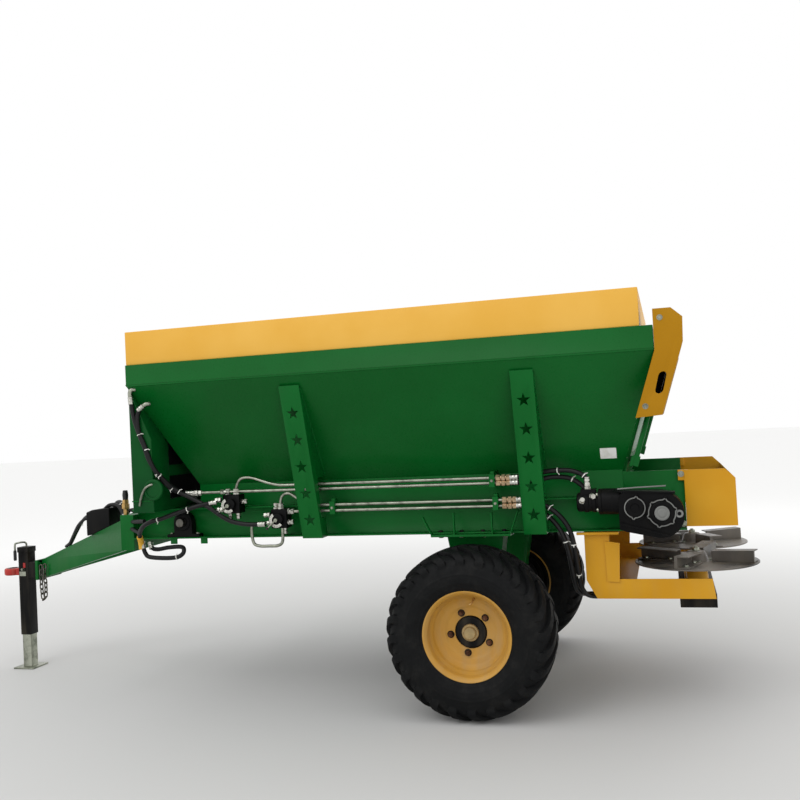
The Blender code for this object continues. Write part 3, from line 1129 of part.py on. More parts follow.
def build_hoses():
    """Hydraulic hoses held at both ends by fittings and ties."""
    y = -PIPE_HALF_WIDTH
    x = PIPE_REAR_X + 0.085 + GAP
    port_x = MOTOR_FRONT_X + 0.052
    z = UPPER_PIPE_Z[0]
    motor_top = MOTOR_Z + MOTOR_RADIUS + 0.014 + GAP
    motor_hose = [(x, y, z), (x + 0.06, y, z), (x + 0.16, y, z + 0.012), (x + 0.24, y - 0.004, z + 0.020),
                  (x + 0.31, y - 0.014, z + 0.014), (port_x - 0.030, MOTOR_Y, motor_top + 0.075),
                  (port_x, MOTOR_Y, motor_top + 0.036), (port_x, MOTOR_Y, motor_top)]
    finish(tube("motor_hose", motor_hose, HOSE_RADIUS, 4, 2), "rubber")
    z = LOWER_PIPE_Z[0]
    tray_x = AXLE_X + TRAY_FRONT_BEHIND
    spinner_hose = [(x, y, z), (x + 0.06, y, z), (x + 0.14, y, z - 0.010), (x + 0.215, y, z - 0.050),
                    (x + 0.268, y + 0.004, z - 0.120), (x + 0.292, y + 0.010, z - 0.200),
                    (tray_x - 0.022, y + 0.050, RAIL_Z - 0.110), (tray_x - 0.018, y + 0.130, RAIL_Z - 0.220),
                    (tray_x + 0.02, y + 0.22, TRAY_Z - 0.014), (tray_x + 0.12, y + 0.28, TRAY_Z - 0.017),
                    (tray_x + 0.24, y + 0.32, TRAY_Z - 0.014), (tray_x + 0.32, y + 0.34, TRAY_Z + 0.004),
                    (tray_x + 0.40, y + 0.345, TRAY_Z + 0.016),
                    (SPINNER_X - 0.060 - GAP, y + 0.345, TRAY_Z + 0.016)]
    finish(tube("spinner_hose", spinner_hose, HOSE_RADIUS, 3, 2), "rubber")
    post_x = FRONT_TOP_X + 0.045
    face = -POST_HALF - HOSE_RADIUS - 0.001
    front_hose = [(post_x, face, HOPPER_TOP - 0.060), (post_x + 0.006, face, HOPPER_TOP - 0.130),
                  (post_x + 0.030, face, HOPPER_TOP - 0.250), (post_x + 0.055, face, HOPPER_TOP - 0.370),
                  (post_x + 0.092, face, HOPPER_TOP - 0.450),
                  (post_x + 0.140, face + 0.020, UPPER_PIPE_Z[1] + 0.050),
                  (post_x + 0.200, face + 0.100, UPPER_PIPE_Z[1] + 0.012),
                  (VALVE_A_X - 0.235, y, UPPER_PIPE_Z[1]), (VALVE_A_X - 0.190 - GAP, y, UPPER_PIPE_Z[1])]
    finish(tube("front_hose", front_hose, HOSE_RADIUS, 4, 2), "rubber")
    end_x = BOX_X0 - 0.300
    end_y = -beam_outside(end_x) + 0.040
    top = beam_top(end_x) + HOSE_RADIUS + 0.001
    drawbar_hose = [(BOX_X0 - GAP, BOX_HOSE_Y, BOX_Z - 0.024), (BOX_X0 - 0.034, BOX_HOSE_Y, BOX_Z - 0.024),
                    (BOX_X0 - 0.105, BOX_HOSE_Y + 0.040, BOX_Z - 0.066),
                    (BOX_X0 - 0.200, end_y - 0.060, top + 0.084), (BOX_X0 - 0.262, end_y - 0.022, top + 0.030),
                    (end_x, end_y, top)]
    finish(tube("drawbar_hose", drawbar_hose, HOSE_RADIUS, 4, 2), "rubber")


BOX_X0 = DRAWBAR_REAR_X - 0.430
BOX_LENGTH = 0.160
BOX_Z = beam_top(BOX_X0) + 0.145   # its upper edge
BOX_HOSE_Y = -0.400


def build_hose_box():
    """Black box on the left drawbar beam, where the tractor hoses come together."""
    x1 = BOX_X0 + BOX_LENGTH
    outline = [(BOX_X0, beam_top(BOX_X0) + GAP), (x1, beam_top(x1) + GAP), (x1, BOX_Z + 0.020),
               (BOX_X0 + 0.040, BOX_Z + 0.010), (BOX_X0, BOX_Z - 0.004)]
    finish(prism("hose_box", outline, "Y", -0.480, -0.320), "black")


# ---------------------------------------------------------------- build
def build():
    """Clears the scene and makes every piece."""
    for obj in list(bpy.data.objects):
        bpy.data.objects.remove(obj, do_unlink=True)
    for make in (build_rails, build_floor_bed, build_belt, build_rollers, build_front_bearings,
                 build_rear_plates, build_gearbox, build_motor, build_hopper_sides, build_hopper_ends,
                 build_boards, build_front_bulkhead, build_star_brackets, build_gate,
                 build_gate_cylinders, build_cylinder_covers, build_chute, build_spinner_tray,
                 build_spinners, build_under_bar, build_axle, build_wheels, build_drawbar,
                 build_towing_eye, build_jack, build_chain, build_valves, build_pipes, build_hoses,
                 build_hose_box):
        make()


build()
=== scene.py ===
# %% [markdown]
# # A towed manure spreader
#
# The real machine is welded from folded steel sheet and rolled sections, painted green and yellow. It
# runs on one axle with two wide farm tyres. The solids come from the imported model; this lesson puts the
# finish on them and makes the pieces whose shape needs more than a plain solid: tyres, rims, pipes,
# hoses, the gearbox, the valves, the discs and all the bolts.

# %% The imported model
import json
import math

import bmesh
import bpy
import numpy as np
from mathutils import Matrix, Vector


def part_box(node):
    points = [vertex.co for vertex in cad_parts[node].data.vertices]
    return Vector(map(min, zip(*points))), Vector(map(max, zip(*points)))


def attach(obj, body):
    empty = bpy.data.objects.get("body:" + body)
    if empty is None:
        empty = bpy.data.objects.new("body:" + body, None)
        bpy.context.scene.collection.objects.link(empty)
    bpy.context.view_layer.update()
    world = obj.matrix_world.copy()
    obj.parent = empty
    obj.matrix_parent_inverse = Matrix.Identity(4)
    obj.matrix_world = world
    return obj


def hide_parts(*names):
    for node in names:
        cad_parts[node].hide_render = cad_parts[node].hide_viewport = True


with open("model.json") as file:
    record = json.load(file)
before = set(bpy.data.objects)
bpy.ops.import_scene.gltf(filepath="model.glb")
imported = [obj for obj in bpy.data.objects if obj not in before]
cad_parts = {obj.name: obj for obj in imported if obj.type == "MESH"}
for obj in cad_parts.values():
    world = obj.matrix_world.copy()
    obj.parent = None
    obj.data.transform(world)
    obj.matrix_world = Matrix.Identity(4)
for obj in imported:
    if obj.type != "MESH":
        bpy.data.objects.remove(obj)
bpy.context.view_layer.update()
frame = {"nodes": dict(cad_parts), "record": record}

record = frame["record"]
BODY_OF = {node: body for body, nodes in record["behaviour"]["bodies"].items() for node in nodes}

# %% [markdown]
# ## Places
#
# Every place below follows from the boxes of a few solids: the tyre gives the axle, the rail gives the
# frame's underside, the hopper its top edge. +X is the machine's rear, +Y its right side, +Z up.

# %% Main places, in metres


def low_high(node):
    """Lowest and highest corner of a solid, as two arrays."""
    low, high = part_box(node)
    return np.array(low), np.array(high)


RAIL_HEIGHT, HOPPER_OVER_RAIL, HOPPER_HEIGHT = 0.168, 0.127, 0.555
tyre_low, tyre_high = low_high("tyre_left")
AXLE_X = (tyre_low[0] + tyre_high[0]) / 2
AXLE_Z = (tyre_low[2] + tyre_high[2]) / 2
HALF_TRACK = -(tyre_low[1] + tyre_high[1]) / 2
RAIL_Z = low_high("rail_left")[0][2]
RAIL_TOP = RAIL_Z + RAIL_HEIGHT
HOPPER_Z = RAIL_TOP + HOPPER_OVER_RAIL
HOPPER_TOP = HOPPER_Z + HOPPER_HEIGHT
FRONT_TOP_X = low_high("hopper_side_left")[0][0]
RAIL_FACE_Y, WEB_FACE_Y = -0.660, -0.600      # outer edges of the left rail's flanges, and its web
REAR_SHAFT_X, FRONT_SHAFT_X = AXLE_X + 0.930, AXLE_X - 1.635
SHAFT_Z = RAIL_Z + 0.090
SIDES = (("left", -1.0), ("right", 1.0))
print("axle", round(AXLE_X, 4), round(AXLE_Z, 4), "rail underside", round(RAIL_Z, 4))

# %% [markdown]
# ## Camera
#
# A person stood level with the machine's rear half and looked a little forward along it, so the near
# wheel is seen almost square on and the drawbar runs away to the left. The camera also leans three
# degrees, which makes the machine seem to climb.

# %% Camera
YAW, PITCH, ROLL = math.radians(16.14), math.radians(1.59), math.radians(-2.99)
FOCAL_OVER_WIDTH = 1.145
SENSOR_MM = 36.0
EYE_PLACE = (AXLE_X + 0.982, -5.223, 1.451)


def turned(first, second, angle):
    """Two perpendicular directions turned by an angle in their own plane."""
    c, s = math.cos(angle), math.sin(angle)
    return c * first + s * second, c * second - s * first


eye_right, eye_forward = turned(np.array([1.0, 0, 0]), np.array([0, 1.0, 0]), YAW)
eye_forward, eye_up = turned(eye_forward, np.array([0, 0, 1.0]), PITCH)
eye_right, eye_up = turned(eye_right, eye_up, ROLL)
camera_data = bpy.data.cameras.new("camera")
camera_data.sensor_width = SENSOR_MM
camera_data.lens = SENSOR_MM * FOCAL_OVER_WIDTH
camera = bpy.data.objects.new("camera", camera_data)
bpy.context.scene.collection.objects.link(camera)
pose = np.eye(4)
pose[:3, 0], pose[:3, 1], pose[:3, 2] = eye_right, eye_up, -eye_forward
pose[:3, 3] = EYE_PLACE
camera.matrix_world = Matrix(pose.tolist())
bpy.context.scene.camera = camera
print("lens", round(camera_data.lens, 2), "mm")

# %% [markdown]
# ## Nodes and colours
#
# Finishes are written down as sRGB hex values, as a paint maker would give them, and Blender's shaders
# work in linear light. One function converts, and one adds a shader node with its settings and links.

# %% Small helpers for materials


def linear(hex_colour):
    """sRGB to linear light: c/12.92 below 0.04045, else ((c+0.055)/1.055) to the power 2.4."""
    c = np.array([int(hex_colour[i:i + 2], 16) for i in (1, 3, 5)]) / 255.0
    c = np.where(c <= 0.04045, c / 12.92, ((c + 0.055) / 1.055) ** 2.4)
    return (*c.tolist(), 1.0)


def add_node(tree, kind, inputs=None, links=None, **settings):
    """A shader node with its attributes, its socket values and what its sockets are linked from."""
    made = tree.nodes.new("ShaderNode" + kind)
    for key, value in settings.items():
        setattr(made, key, value)
    for key, value in (inputs or {}).items():
        made.inputs[key].default_value = value
    for key, output in (links or {}).items():
        tree.links.new(output, made.inputs[key])
    return made


def new_material(name, **sockets):
    """A material with one Principled shader; returns the material, its tree, shader and Object coordinates."""
    material = bpy.data.materials.new(name)
    material.use_nodes = True
    tree = material.node_tree
    tree.nodes.clear()
    shader = add_node(tree, "BsdfPrincipled", sockets)
    add_node(tree, "OutputMaterial", links={"Surface": shader.outputs[0]})
    place = add_node(tree, "TexCoord").outputs["Object"]
    return material, tree, shader, place


def noise(tree, place, scale, detail=4.0, roughness=0.55, distortion=0.0):
    """Noise on Object coordinates; a scale of 1/size gives patches of that size in metres."""
    return add_node(tree, "TexNoise", {"Scale": scale, "Detail": detail, "Roughness": roughness,
                                       "Distortion": distortion}, {"Vector": place}).outputs["Fac"]


def between(tree, value, low, high, to_low=0.0, to_high=1.0, smooth=True):
    """A value's range low..high turned into to_low..to_high, eased at both ends."""
    kind = "SMOOTHSTEP" if smooth else "LINEAR"
    return add_node(tree, "MapRange", {"From Min": low, "From Max": high, "To Min": to_low, "To Max": to_high},
                    {"Value": value}, interpolation_type=kind).outputs["Result"]


def mixed(tree, share, first, second):
    """Two colours mixed by a share; each may be a hex value or a socket."""
    made = add_node(tree, "Mix", data_type="RGBA")
    for socket, colour in ((made.inputs[6], first), (made.inputs[7], second)):
        if isinstance(colour, str):
            socket.default_value = linear(colour)
        else:
            tree.links.new(colour, socket)
    if isinstance(share, float):
        made.inputs[0].default_value = share
    else:
        tree.links.new(share, made.inputs[0])
    return made.outputs[2]


def sum_of(tree, first, second, operation="ADD"):
    """The sum of two values, or their product or maximum; either may be a plain number."""
    made = add_node(tree, "Math", operation=operation)
    for socket, value in zip(made.inputs, (first, second)):
        if isinstance(value, float):
            socket.default_value = value
        else:
            tree.links.new(value, socket)
    return made.outputs[0]


def times(tree, first, second):
    """The product of two values."""
    return sum_of(tree, first, second, "MULTIPLY")


def bump(tree, shader, height, distance, strength=1.0):
    """A bump map of a height in metres."""
    made = add_node(tree, "Bump", {"Distance": distance, "Strength": strength}, {"Height": height})
    tree.links.new(made.outputs[0], shader.inputs["Normal"])


# %% [markdown]
# ## Paint
#
# Farm machines are sprayed with two-pack enamel over primer. It dries with a fine orange peel, ripples
# a few millimetres wide, fades a little in patches and takes road dust on its lower and upward faces.
# Here and there a chip shows grey steel. Sheet welded to a frame also pulls into shallow waves about
# 40 cm long, which is what makes a big painted panel's reflection wander.

# %% Enamel


def enamel(name, colour, faded, gloss, dust=0.35, chips=0.5, wave=0.0, shine=0.30):
    """Sprayed enamel: base and faded colour, roughness, how dusty and chipped it is, sheet waves and shine."""
    material, tree, shader, place = new_material(
        name, **{"Metallic": 0.0, "IOR": 1.5, "Specular IOR Level": shine})
    cloud = noise(tree, place, 1 / 0.45, 3.0)
    speck = noise(tree, place, 1 / 0.012, 3.0, 0.65)
    streak_place = add_node(tree, "Mapping", {"Scale": (9.0, 9.0, 1.1)}, {"Vector": place}).outputs[0]
    streak = noise(tree, streak_place, 1.6, 5.0, 0.6)
    paint = mixed(tree, between(tree, cloud, 0.35, 0.70), colour, faded)
    height = add_node(tree, "SeparateXYZ", links={"Vector": place}).outputs["Z"]
    normal = add_node(tree, "NewGeometry").outputs["Normal"]
    facing = add_node(tree, "SeparateXYZ", links={"Vector": normal}).outputs["Z"]
    low_down = between(tree, height, 1.15, 0.20)
    upward = between(tree, facing, 0.55, 1.0, 0.0, 0.8)
    where = sum_of(tree, low_down, upward, "MAXIMUM")
    dusty = times(tree, times(tree, where, between(tree, streak, 0.38, 0.75)), dust)
    paint = mixed(tree, dusty, paint, "#9C8F78")
    chip = between(tree, noise(tree, place, 1 / 0.035, 6.0, 0.75), 0.735, 0.755)
    chip = times(tree, chip, chips)
    paint = mixed(tree, chip, paint, "#5A5E5C")
    tree.links.new(paint, shader.inputs["Base Color"])
    sheen = between(tree, speck, 0.3, 0.7, gloss - 0.04, gloss + 0.05)
    tree.links.new(sum_of(tree, sheen, times(tree, dusty, 0.45)), shader.inputs["Roughness"])
    peel = times(tree, noise(tree, place, 1 / 0.0035, 2.0), 0.00025)
    if wave:
        peel = sum_of(tree, peel, times(tree, noise(tree, place, 1 / 0.55, 1.0), wave))
    bump(tree, shader, peel, 1.0, 0.6)
    return material


GREEN = enamel("green_enamel", "#04561C", "#065D21", 0.30, dust=0.10, wave=0.010, shine=0.16)
GREEN_FRAME = enamel("green_frame_enamel", "#055A20", "#076225", 0.32, dust=0.05, chips=0.4, shine=0.12)
# The front post's green is darkened because the post's face looks away from the light: painted shade. The post cover
# and the strap across the front panel share it.
GREEN_POST_SHADED = enamel("green_post_painted_shade_enamel", "#03401A", "#054B1C", 0.32, dust=0.05, chips=0.4, shine=0.12)
# The hopper front's green is near black for the deep shade under the hopper: painted shade.
GREEN_SHADED = enamel("green_painted_shade_enamel", "#02200B", "#042B10", 0.50, dust=0.10, shine=0.05)
YELLOW = enamel("yellow_board_enamel", "#E0A93C", "#E5B14A", 0.40, dust=0.2, wave=0.006)
YELLOW_PARTS = enamel("yellow_enamel", "#CB9012", "#D19A20", 0.36, dust=0.12, wave=0.004, shine=0.20)
YELLOW_COVER = enamel("yellow_cover_enamel", "#A87608", "#AF7E12", 0.36, dust=0.06, wave=0.004, shine=0.12)
YELLOW_RIM = enamel("yellow_rim_enamel", "#BE8C36", "#C79845", 0.40, dust=0.35, chips=0.5)
BLACK = enamel("black_machine_paint", "#0A0A0B", "#101011", 0.42, dust=0.12, chips=0.5, shine=0.12)
# The disc paint is lightened and heavily dusted on its upward faces: partly dust, partly a painted reflection of the
# bright sky on the disc tops.
DISC_PAINT_AND_REFLECTION = enamel("disc_paint_with_painted_reflection", "#292726", "#746F69", 0.30, dust=0.45, chips=1.0)
# A light grey for the gearbox: its bands along the covers' edges and the top ledge are painted highlights, and it
# also colours the shaft cap.
GREY_HIGHLIGHT_AND_CAP = enamel("light_grey_painted_highlight_and_cap", "#6A6B69", "#8B8C89", 0.45, dust=0.1)
RED = enamel("red_primer_paint", "#A31718", "#B02A22", 0.45, dust=0.4)

# %% [markdown]
# ## Metals, rubber and plastic
#
# Hydraulic pipe is zinc plated, a pale grey metal with a faint green-yellow cast. Hoses are smooth black
# rubber with a fabric print in the cover; the belt is duller. Tyre rubber is almost black but its surface
# blooms to a dark grey. Cable ties are white nylon.

# %% Metals


def plated(name, colour, stain, rough, metallic=1.0, grain=1 / 0.02):
    """Plated or bare metal with cloudy stains and a fine drawn grain."""
    material, tree, shader, place = new_material(name, Metallic=metallic)
    cloud = between(tree, noise(tree, place, 1 / 0.06, 5.0, 0.65), 0.42, 0.70)
    tree.links.new(mixed(tree, cloud, colour, stain), shader.inputs["Base Color"])
    tree.links.new(between(tree, noise(tree, place, grain, 4.0), 0.3, 0.7, rough - 0.07, rough + 0.10),
                   shader.inputs["Roughness"])
    bump(tree, shader, noise(tree, place, 1 / 0.004, 3.0), 0.0003, 0.5)
    return material


ZINC = plated("zinc_plated_steel", "#9FA294", "#6E7166", 0.34)
STEEL = plated("bare_mild_steel", "#6E6C66", "#463E36", 0.42)
SILVER = plated("bright_zinc_fitting", "#C9C8C0", "#A3A299", 0.26)
BRASS = plated("brass_fitting", "#C8A468", "#9A7F50", 0.32)
CHROMATE = plated("passivated_fitting", "#C9AE8E", "#A88C6C", 0.32)
RUSTY = plated("browned_steel", "#6E4A34", "#42281C", 0.60, 0.6)
CAP = plated("hub_cap_tan_plating", "#B39B6E", "#97835C", 0.42, 0.55)
CAST = enamel("cast_iron_black_paint", "#060607", "#0C0C0D", 0.42, dust=0.05, chips=0.4, shine=0.10)

# %% Rubber, nylon and vinyl


def soft_black(name, colour, dusty_colour, rough, dust, grain_mm, depth, shine=0.25):
    """Rubber: near-black, greyed by dust in patches, with a grain of the given size."""
    material, tree, shader, place = new_material(name, **{"IOR": 1.52, "Specular IOR Level": shine})
    patch = between(tree, noise(tree, place, 1 / 0.09, 6.0, 0.7), 0.45, 0.75, 0.0, dust)
    tree.links.new(mixed(tree, patch, colour, dusty_colour), shader.inputs["Base Color"])
    tree.links.new(between(tree, noise(tree, place, 1 / 0.03, 4.0), 0.3, 0.7, rough - 0.06, rough + 0.08),
                   shader.inputs["Roughness"])
    bump(tree, shader, noise(tree, place, 1000.0 / grain_mm, 3.0), depth, 0.7)
    return material


TYRE = soft_black("tyre_rubber", "#0D0E0F", "#2B2A28", 0.62, 0.40, 5.0, 0.0009, shine=0.14)
HOSE = soft_black("hose_rubber", "#0E0E0F", "#262627", 0.40, 0.30, 1.6, 0.0002)
BELT = soft_black("belt_rubber", "#19191A", "#4B463E", 0.72, 0.7, 6.0, 0.0006)


def plain_plastic(name, colour, faded, rough):
    """Moulded plastic or vinyl: one colour that yellows a little in patches."""
    material, tree, shader, place = new_material(name, Roughness=rough, IOR=1.46)
    patch = between(tree, noise(tree, place, 1 / 0.03, 3.0), 0.4, 0.7)
    tree.links.new(mixed(tree, patch, colour, faded), shader.inputs["Base Color"])
    bump(tree, shader, noise(tree, place, 1 / 0.003, 2.0), 0.0001, 0.5)
    return material


NYLON = plain_plastic("white_nylon_tie", "#E9E9E4", "#D8D7CC", 0.42)
VINYL = plain_plastic("white_vinyl_label", "#EDEDEA", "#DEDDD6", 0.35)
YELLOW_PLASTIC = plain_plastic("yellow_sleeve", "#D7A52C", "#C79423", 0.5)
RED_PLASTIC = plain_plastic("red_sleeve", "#A8201C", "#8F1B18", 0.45)
BLACK_PLASTIC = plain_plastic("black_plastic", "#151516", "#1E1E1F", 0.45)

# %% [markdown]
# ## Shapes as arrays
#
# A surface of two parameters is a grid of points: rows along one parameter, columns along the other.
# Three families cover nearly every turned, bent or repeated piece here: a profile turned round an
# axis, a circle carried along a path, and one small shape copied to many places.

# %% Grids and how they become pieces


def grid_faces(rows, columns, wrap_rows=False, wrap_columns=True):
    """Quads of a rows x columns grid numbered row by row, wrapping round where asked."""
    r, c = np.meshgrid(np.arange(rows if wrap_rows else rows - 1),
                       np.arange(columns if wrap_columns else columns - 1), indexing="ij")
    r, c = r.ravel(), c.ravel()
    r1, c1 = (r + 1) % rows, (c + 1) % columns
    return np.stack([r * columns + c, r * columns + c1, r1 * columns + c1, r1 * columns + c], axis=1).tolist()


def frame_of(direction):
    """Two directions square to a given one, from cross products with the axis it leans on least."""
    n = np.asarray(direction, float) / np.linalg.norm(direction)
    helper = np.eye(3)[np.argmin(np.abs(n))]
    u = np.cross(n, helper)
    u /= np.linalg.norm(u)
    return u, np.cross(n, u), n


def turned_shape(profile, centre, axis, steps=48, phase=0.0):
    """Profile of (radius, distance): point = centre + distance*axis + radius*(cos a * u + sin a * v)."""
    profile = np.asarray(profile, float)
    u, v, n = frame_of(axis)
    a = np.arange(steps) * 2 * np.pi / steps + phase
    ring = np.cos(a)[:, None] * u + np.sin(a)[:, None] * v
    points = (np.asarray(centre, float) + profile[:, 1][:, None, None] * n
              + profile[:, 0][:, None, None] * ring[None])
    closed = bool(np.allclose(profile[0], profile[-1]))
    rows = len(profile) - 1 if closed else len(profile)
    return points[:rows].reshape(-1, 3), grid_faces(rows, steps, wrap_rows=closed)


def smooth_path(points, per_span=10):
    """Catmull-Rom: p(t) = half of (2b + (c-a)t + (2a-5b+4c-d)t^2 + (3b-a-3c+d)t^3) on each span."""
    p = np.asarray(points, float)
    p = np.vstack([2 * p[0] - p[1], p, 2 * p[-1] - p[-2]])
    a, b, c, d = p[:-3, None], p[1:-2, None], p[2:-1, None], p[3:, None]
    t = (np.arange(per_span) / per_span)[None, :, None]
    curve = 0.5 * (2 * b + (c - a) * t + (2 * a - 5 * b + 4 * c - d) * t ** 2 + (3 * b - a - 3 * c + d) * t ** 3)
    return np.vstack([curve.reshape(-1, 3), p[-2]])


def swept(path, radius, sides=14):
    """A circle carried along a path: point = path + r(s)*(cos a * u + sin a * v), u and v square to it."""
    path = np.asarray(path, float)
    along = np.gradient(path, axis=0)
    along /= np.linalg.norm(along, axis=1)[:, None]
    steady = np.linalg.eigh(along.T @ along)[1][:, 0]
    u = np.cross(along, steady)
    u /= np.linalg.norm(u, axis=1)[:, None]
    v = np.cross(along, u)
    a = np.arange(sides) * 2 * np.pi / sides
    reach = np.broadcast_to(np.asarray(radius, float), (len(path),))[:, None, None]
    ring = np.cos(a)[None, :, None] * u[:, None] + np.sin(a)[None, :, None] * v[:, None]
    points = (path[:, None] + reach * ring).reshape(-1, 3)
    last = (len(path) - 1) * sides
    caps = [list(range(sides))[::-1], list(range(last, last + sides))]
    return points, grid_faces(len(path), sides) + caps


def copies(shape, centres, axes, turn=0.0):
    """One shape, made along +Z, set at many centres with its Z along each axis."""
    points, faces = shape
    out_points, out_faces = [], []
    for centre, axis in zip(centres, axes):
        u, v, n = frame_of(axis)
        c, s = math.cos(turn), math.sin(turn)
        basis = np.stack([c * u + s * v, c * v - s * u, n])
        out_faces += [[i + len(out_points) * len(points) for i in face] for face in faces]
        out_points.append(np.asarray(points) @ basis + np.asarray(centre, float))
    return np.vstack(out_points), out_faces


def together(*shapes):
    """Several shapes as one set of points and faces."""
    points, faces, start = [], [], 0
    for p, f in shapes:
        points.append(np.asarray(p))
        faces += [[i + start for i in face] for face in f]
        start += len(p)
    return np.vstack(points), faces


def mirrored(shape):
    """The same shape on the machine's other side: y becomes -y."""
    points, faces = shape
    return np.asarray(points) * (1, -1, 1), [face[::-1] for face in faces]


def both_sides(shapes):
    """Shapes of the left side with their mirror images on the right."""
    return together(*shapes, *(mirrored(shape) for shape in shapes))


def box_shape(low, high):
    """A box between two corners."""
    x0, y0, z0 = low
    x1, y1, z1 = high
    points = np.array([(x0, y0, z0), (x1, y0, z0), (x1, y1, z0), (x0, y1, z0),
                       (x0, y0, z1), (x1, y0, z1), (x1, y1, z1), (x0, y1, z1)])
    return points, [[3, 2, 1, 0], [4, 5, 6, 7], [0, 1, 5, 4], [1, 2, 6, 5], [2, 3, 7, 6], [3, 0, 4, 7]]


def plate_shape(outline, y0, y1):
    """An outline in X and Z given depth from y0 to y1."""
    outline = np.asarray(outline, float)
    count = len(outline)
    points = np.vstack([np.insert(outline, 1, y0, axis=1), np.insert(outline, 1, y1, axis=1)])
    sides = [[i, (i + 1) % count, count + (i + 1) % count, count + i] for i in range(count)]
    return points, sides + [list(range(count))[::-1], list(range(count, 2 * count))]


def finished(name, mesh, material, merge, whole_faces=False):
    """An object of a mesh with doubles merged, coplanar faces joined where asked, and one material."""
    work = bmesh.new()
    work.from_mesh(mesh)
    bmesh.ops.remove_doubles(work, verts=work.verts, dist=merge)
    if whole_faces:
        bmesh.ops.dissolve_limit(work, angle_limit=math.radians(0.4), verts=work.verts, edges=work.edges)
    bmesh.ops.recalc_face_normals(work, faces=work.faces)
    work.to_mesh(mesh)
    work.free()
    obj = bpy.data.objects.new(name, mesh)
    bpy.context.scene.collection.objects.link(obj)
    mesh.materials.clear()
    mesh.materials.append(material)
    mesh.shade_smooth()
    return obj


def round_edges(obj, width, sharper_than, miter="MITER_SHARP"):
    """A two-step bevel on edges that turn by more than an angle in degrees."""
    rounding = obj.modifiers.new("rounding", "BEVEL")
    rounding.width, rounding.segments = width, 2
    rounding.limit_method, rounding.angle_limit = "ANGLE", math.radians(sharper_than)
    rounding.harden_normals = True
    rounding.miter_outer = miter


def piece(name, shape, material, body="chassis", slot="green_paint", stands_for=(), soft=0.0, angle=35.0):
    """Makes a shape a named mesh: rounded by soft metres, or sharp where it turns by more than angle."""
    points, faces = shape
    mesh = bpy.data.meshes.new(name)
    mesh.from_pydata(np.asarray(points).tolist(), [], faces)
    obj = finished(name, mesh, material, 1e-6)
    if soft:
        round_edges(obj, soft, 30, "MITER_ARC")
    else:
        mesh.set_sharp_from_angle(angle=math.radians(angle))
    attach(obj, body)
    if stands_for:
        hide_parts(*stands_for)
    return obj


def metal_piece(name, shapes, material, **more):
    """A metal piece on the chassis, from several shapes."""
    return piece(name, together(*shapes), material, slot="steel", **more)


def black_piece(name, shapes, material, **more):
    """A black painted or plastic piece on the chassis, from several shapes."""
    return piece(name, together(*shapes), material, slot="black_paint", **more)


# %% [markdown]
# ## Sheet metal from the solids
#
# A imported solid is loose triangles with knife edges. Real folded sheet has a bend radius and real cut
# plate a broken edge, and that thin line of light is what the eye reads as steel. Each flat piece is
# copied, its triangles are merged into whole faces, and a bevel rounds its edges.

# %% Rounded copies of the flat pieces


def rounded_copy(node, material, width):
    """A copy of a CAD solid with whole faces and rounded edges, which stands for the solid."""
    mesh = frame["nodes"][node].data.copy()
    mesh.name = node + "_finished"
    obj = finished(mesh.name, mesh, material, 5e-6, whole_faces=True)
    round_edges(obj, width, 25)
    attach(obj, BODY_OF[node])
    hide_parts(node)


# Paint, bend radius or broken edge in metres, and the solids that have them. The hopper front's near-black green, the
# front bulkhead's dark green and the front panel's black are painted shade.
SHEET_PIECES = (
    (GREEN_FRAME, 0.0025, "rail_left rail_right"), (GREEN_FRAME, 0.002, "floor_bed rear_plate_left rear_plate_right"),
    # hopper_front takes the near-black green that paints the shade under the hopper.
    (GREEN, 0.0018, "hopper_side_left hopper_side_right"), (GREEN_SHADED, 0.0015, "hopper_front"),
    # front_bulkhead takes the post's darkened green, and front_panel is a black sheet in the bulkhead's openings for
    # the shade behind them: painted shade.
    (GREEN, 0.0015, "hopper_rear"), (GREEN_POST_SHADED, 0.005, "front_bulkhead"), (BLACK, 0.001, "front_panel"),
    (GREEN_FRAME, 0.0012, "star_bracket_left_1 star_bracket_left_2 star_bracket_right_1 star_bracket_right_2"),
    (GREEN_FRAME, 0.006, "drawbar"), (GREEN_FRAME, 0.003, "axle"),
    (YELLOW, 0.003, "board_left board_right board_front board_rear"),
    (YELLOW_COVER, 0.0015, "cylinder_cover_left cylinder_cover_right"), (YELLOW_PARTS, 0.0015, "chute"),
    (YELLOW_PARTS, 0.0018, "spinner_tray"), (BLACK, 0.002, "under_bar jack_tube"), (ZINC, 0.002, "jack_leg"),
    (BLACK, 0.006, "hose_box"), (CAST, 0.003, "front_bearing_left front_bearing_right"),
    (GREEN_FRAME, 0.0015, "gate"), (CAST, 0.004, "gearbox"), (CAST, 0.003, "flow_valve_front flow_valve_rear"))
for material, width, nodes in SHEET_PIECES:
    for node in nodes.split():
        rounded_copy(node, material, width)

# %% [markdown]
# The belt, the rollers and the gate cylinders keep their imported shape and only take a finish.

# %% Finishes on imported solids
for node, material in (("belt", BELT), ("front_roller", STEEL), ("rear_roller", STEEL),
                       ("gate_cylinder_left", BLACK), ("gate_cylinder_right", BLACK)):
    mesh = frame["nodes"][node].data
    mesh.materials.clear()
    mesh.materials.append(material)

# %% [markdown]
# ## Tyres
#
# The real tyre is a wide low-pressure farm tyre: a round carcass, a step in the sidewall, and two rows
# of slanting bars that start on the shoulder, pass the middle and alternate left and right. A texture
# would leave the outline round, so the bars are real height. Grid lines run along the bars' own
# slanted edges, so each edge stays crisp with few points.

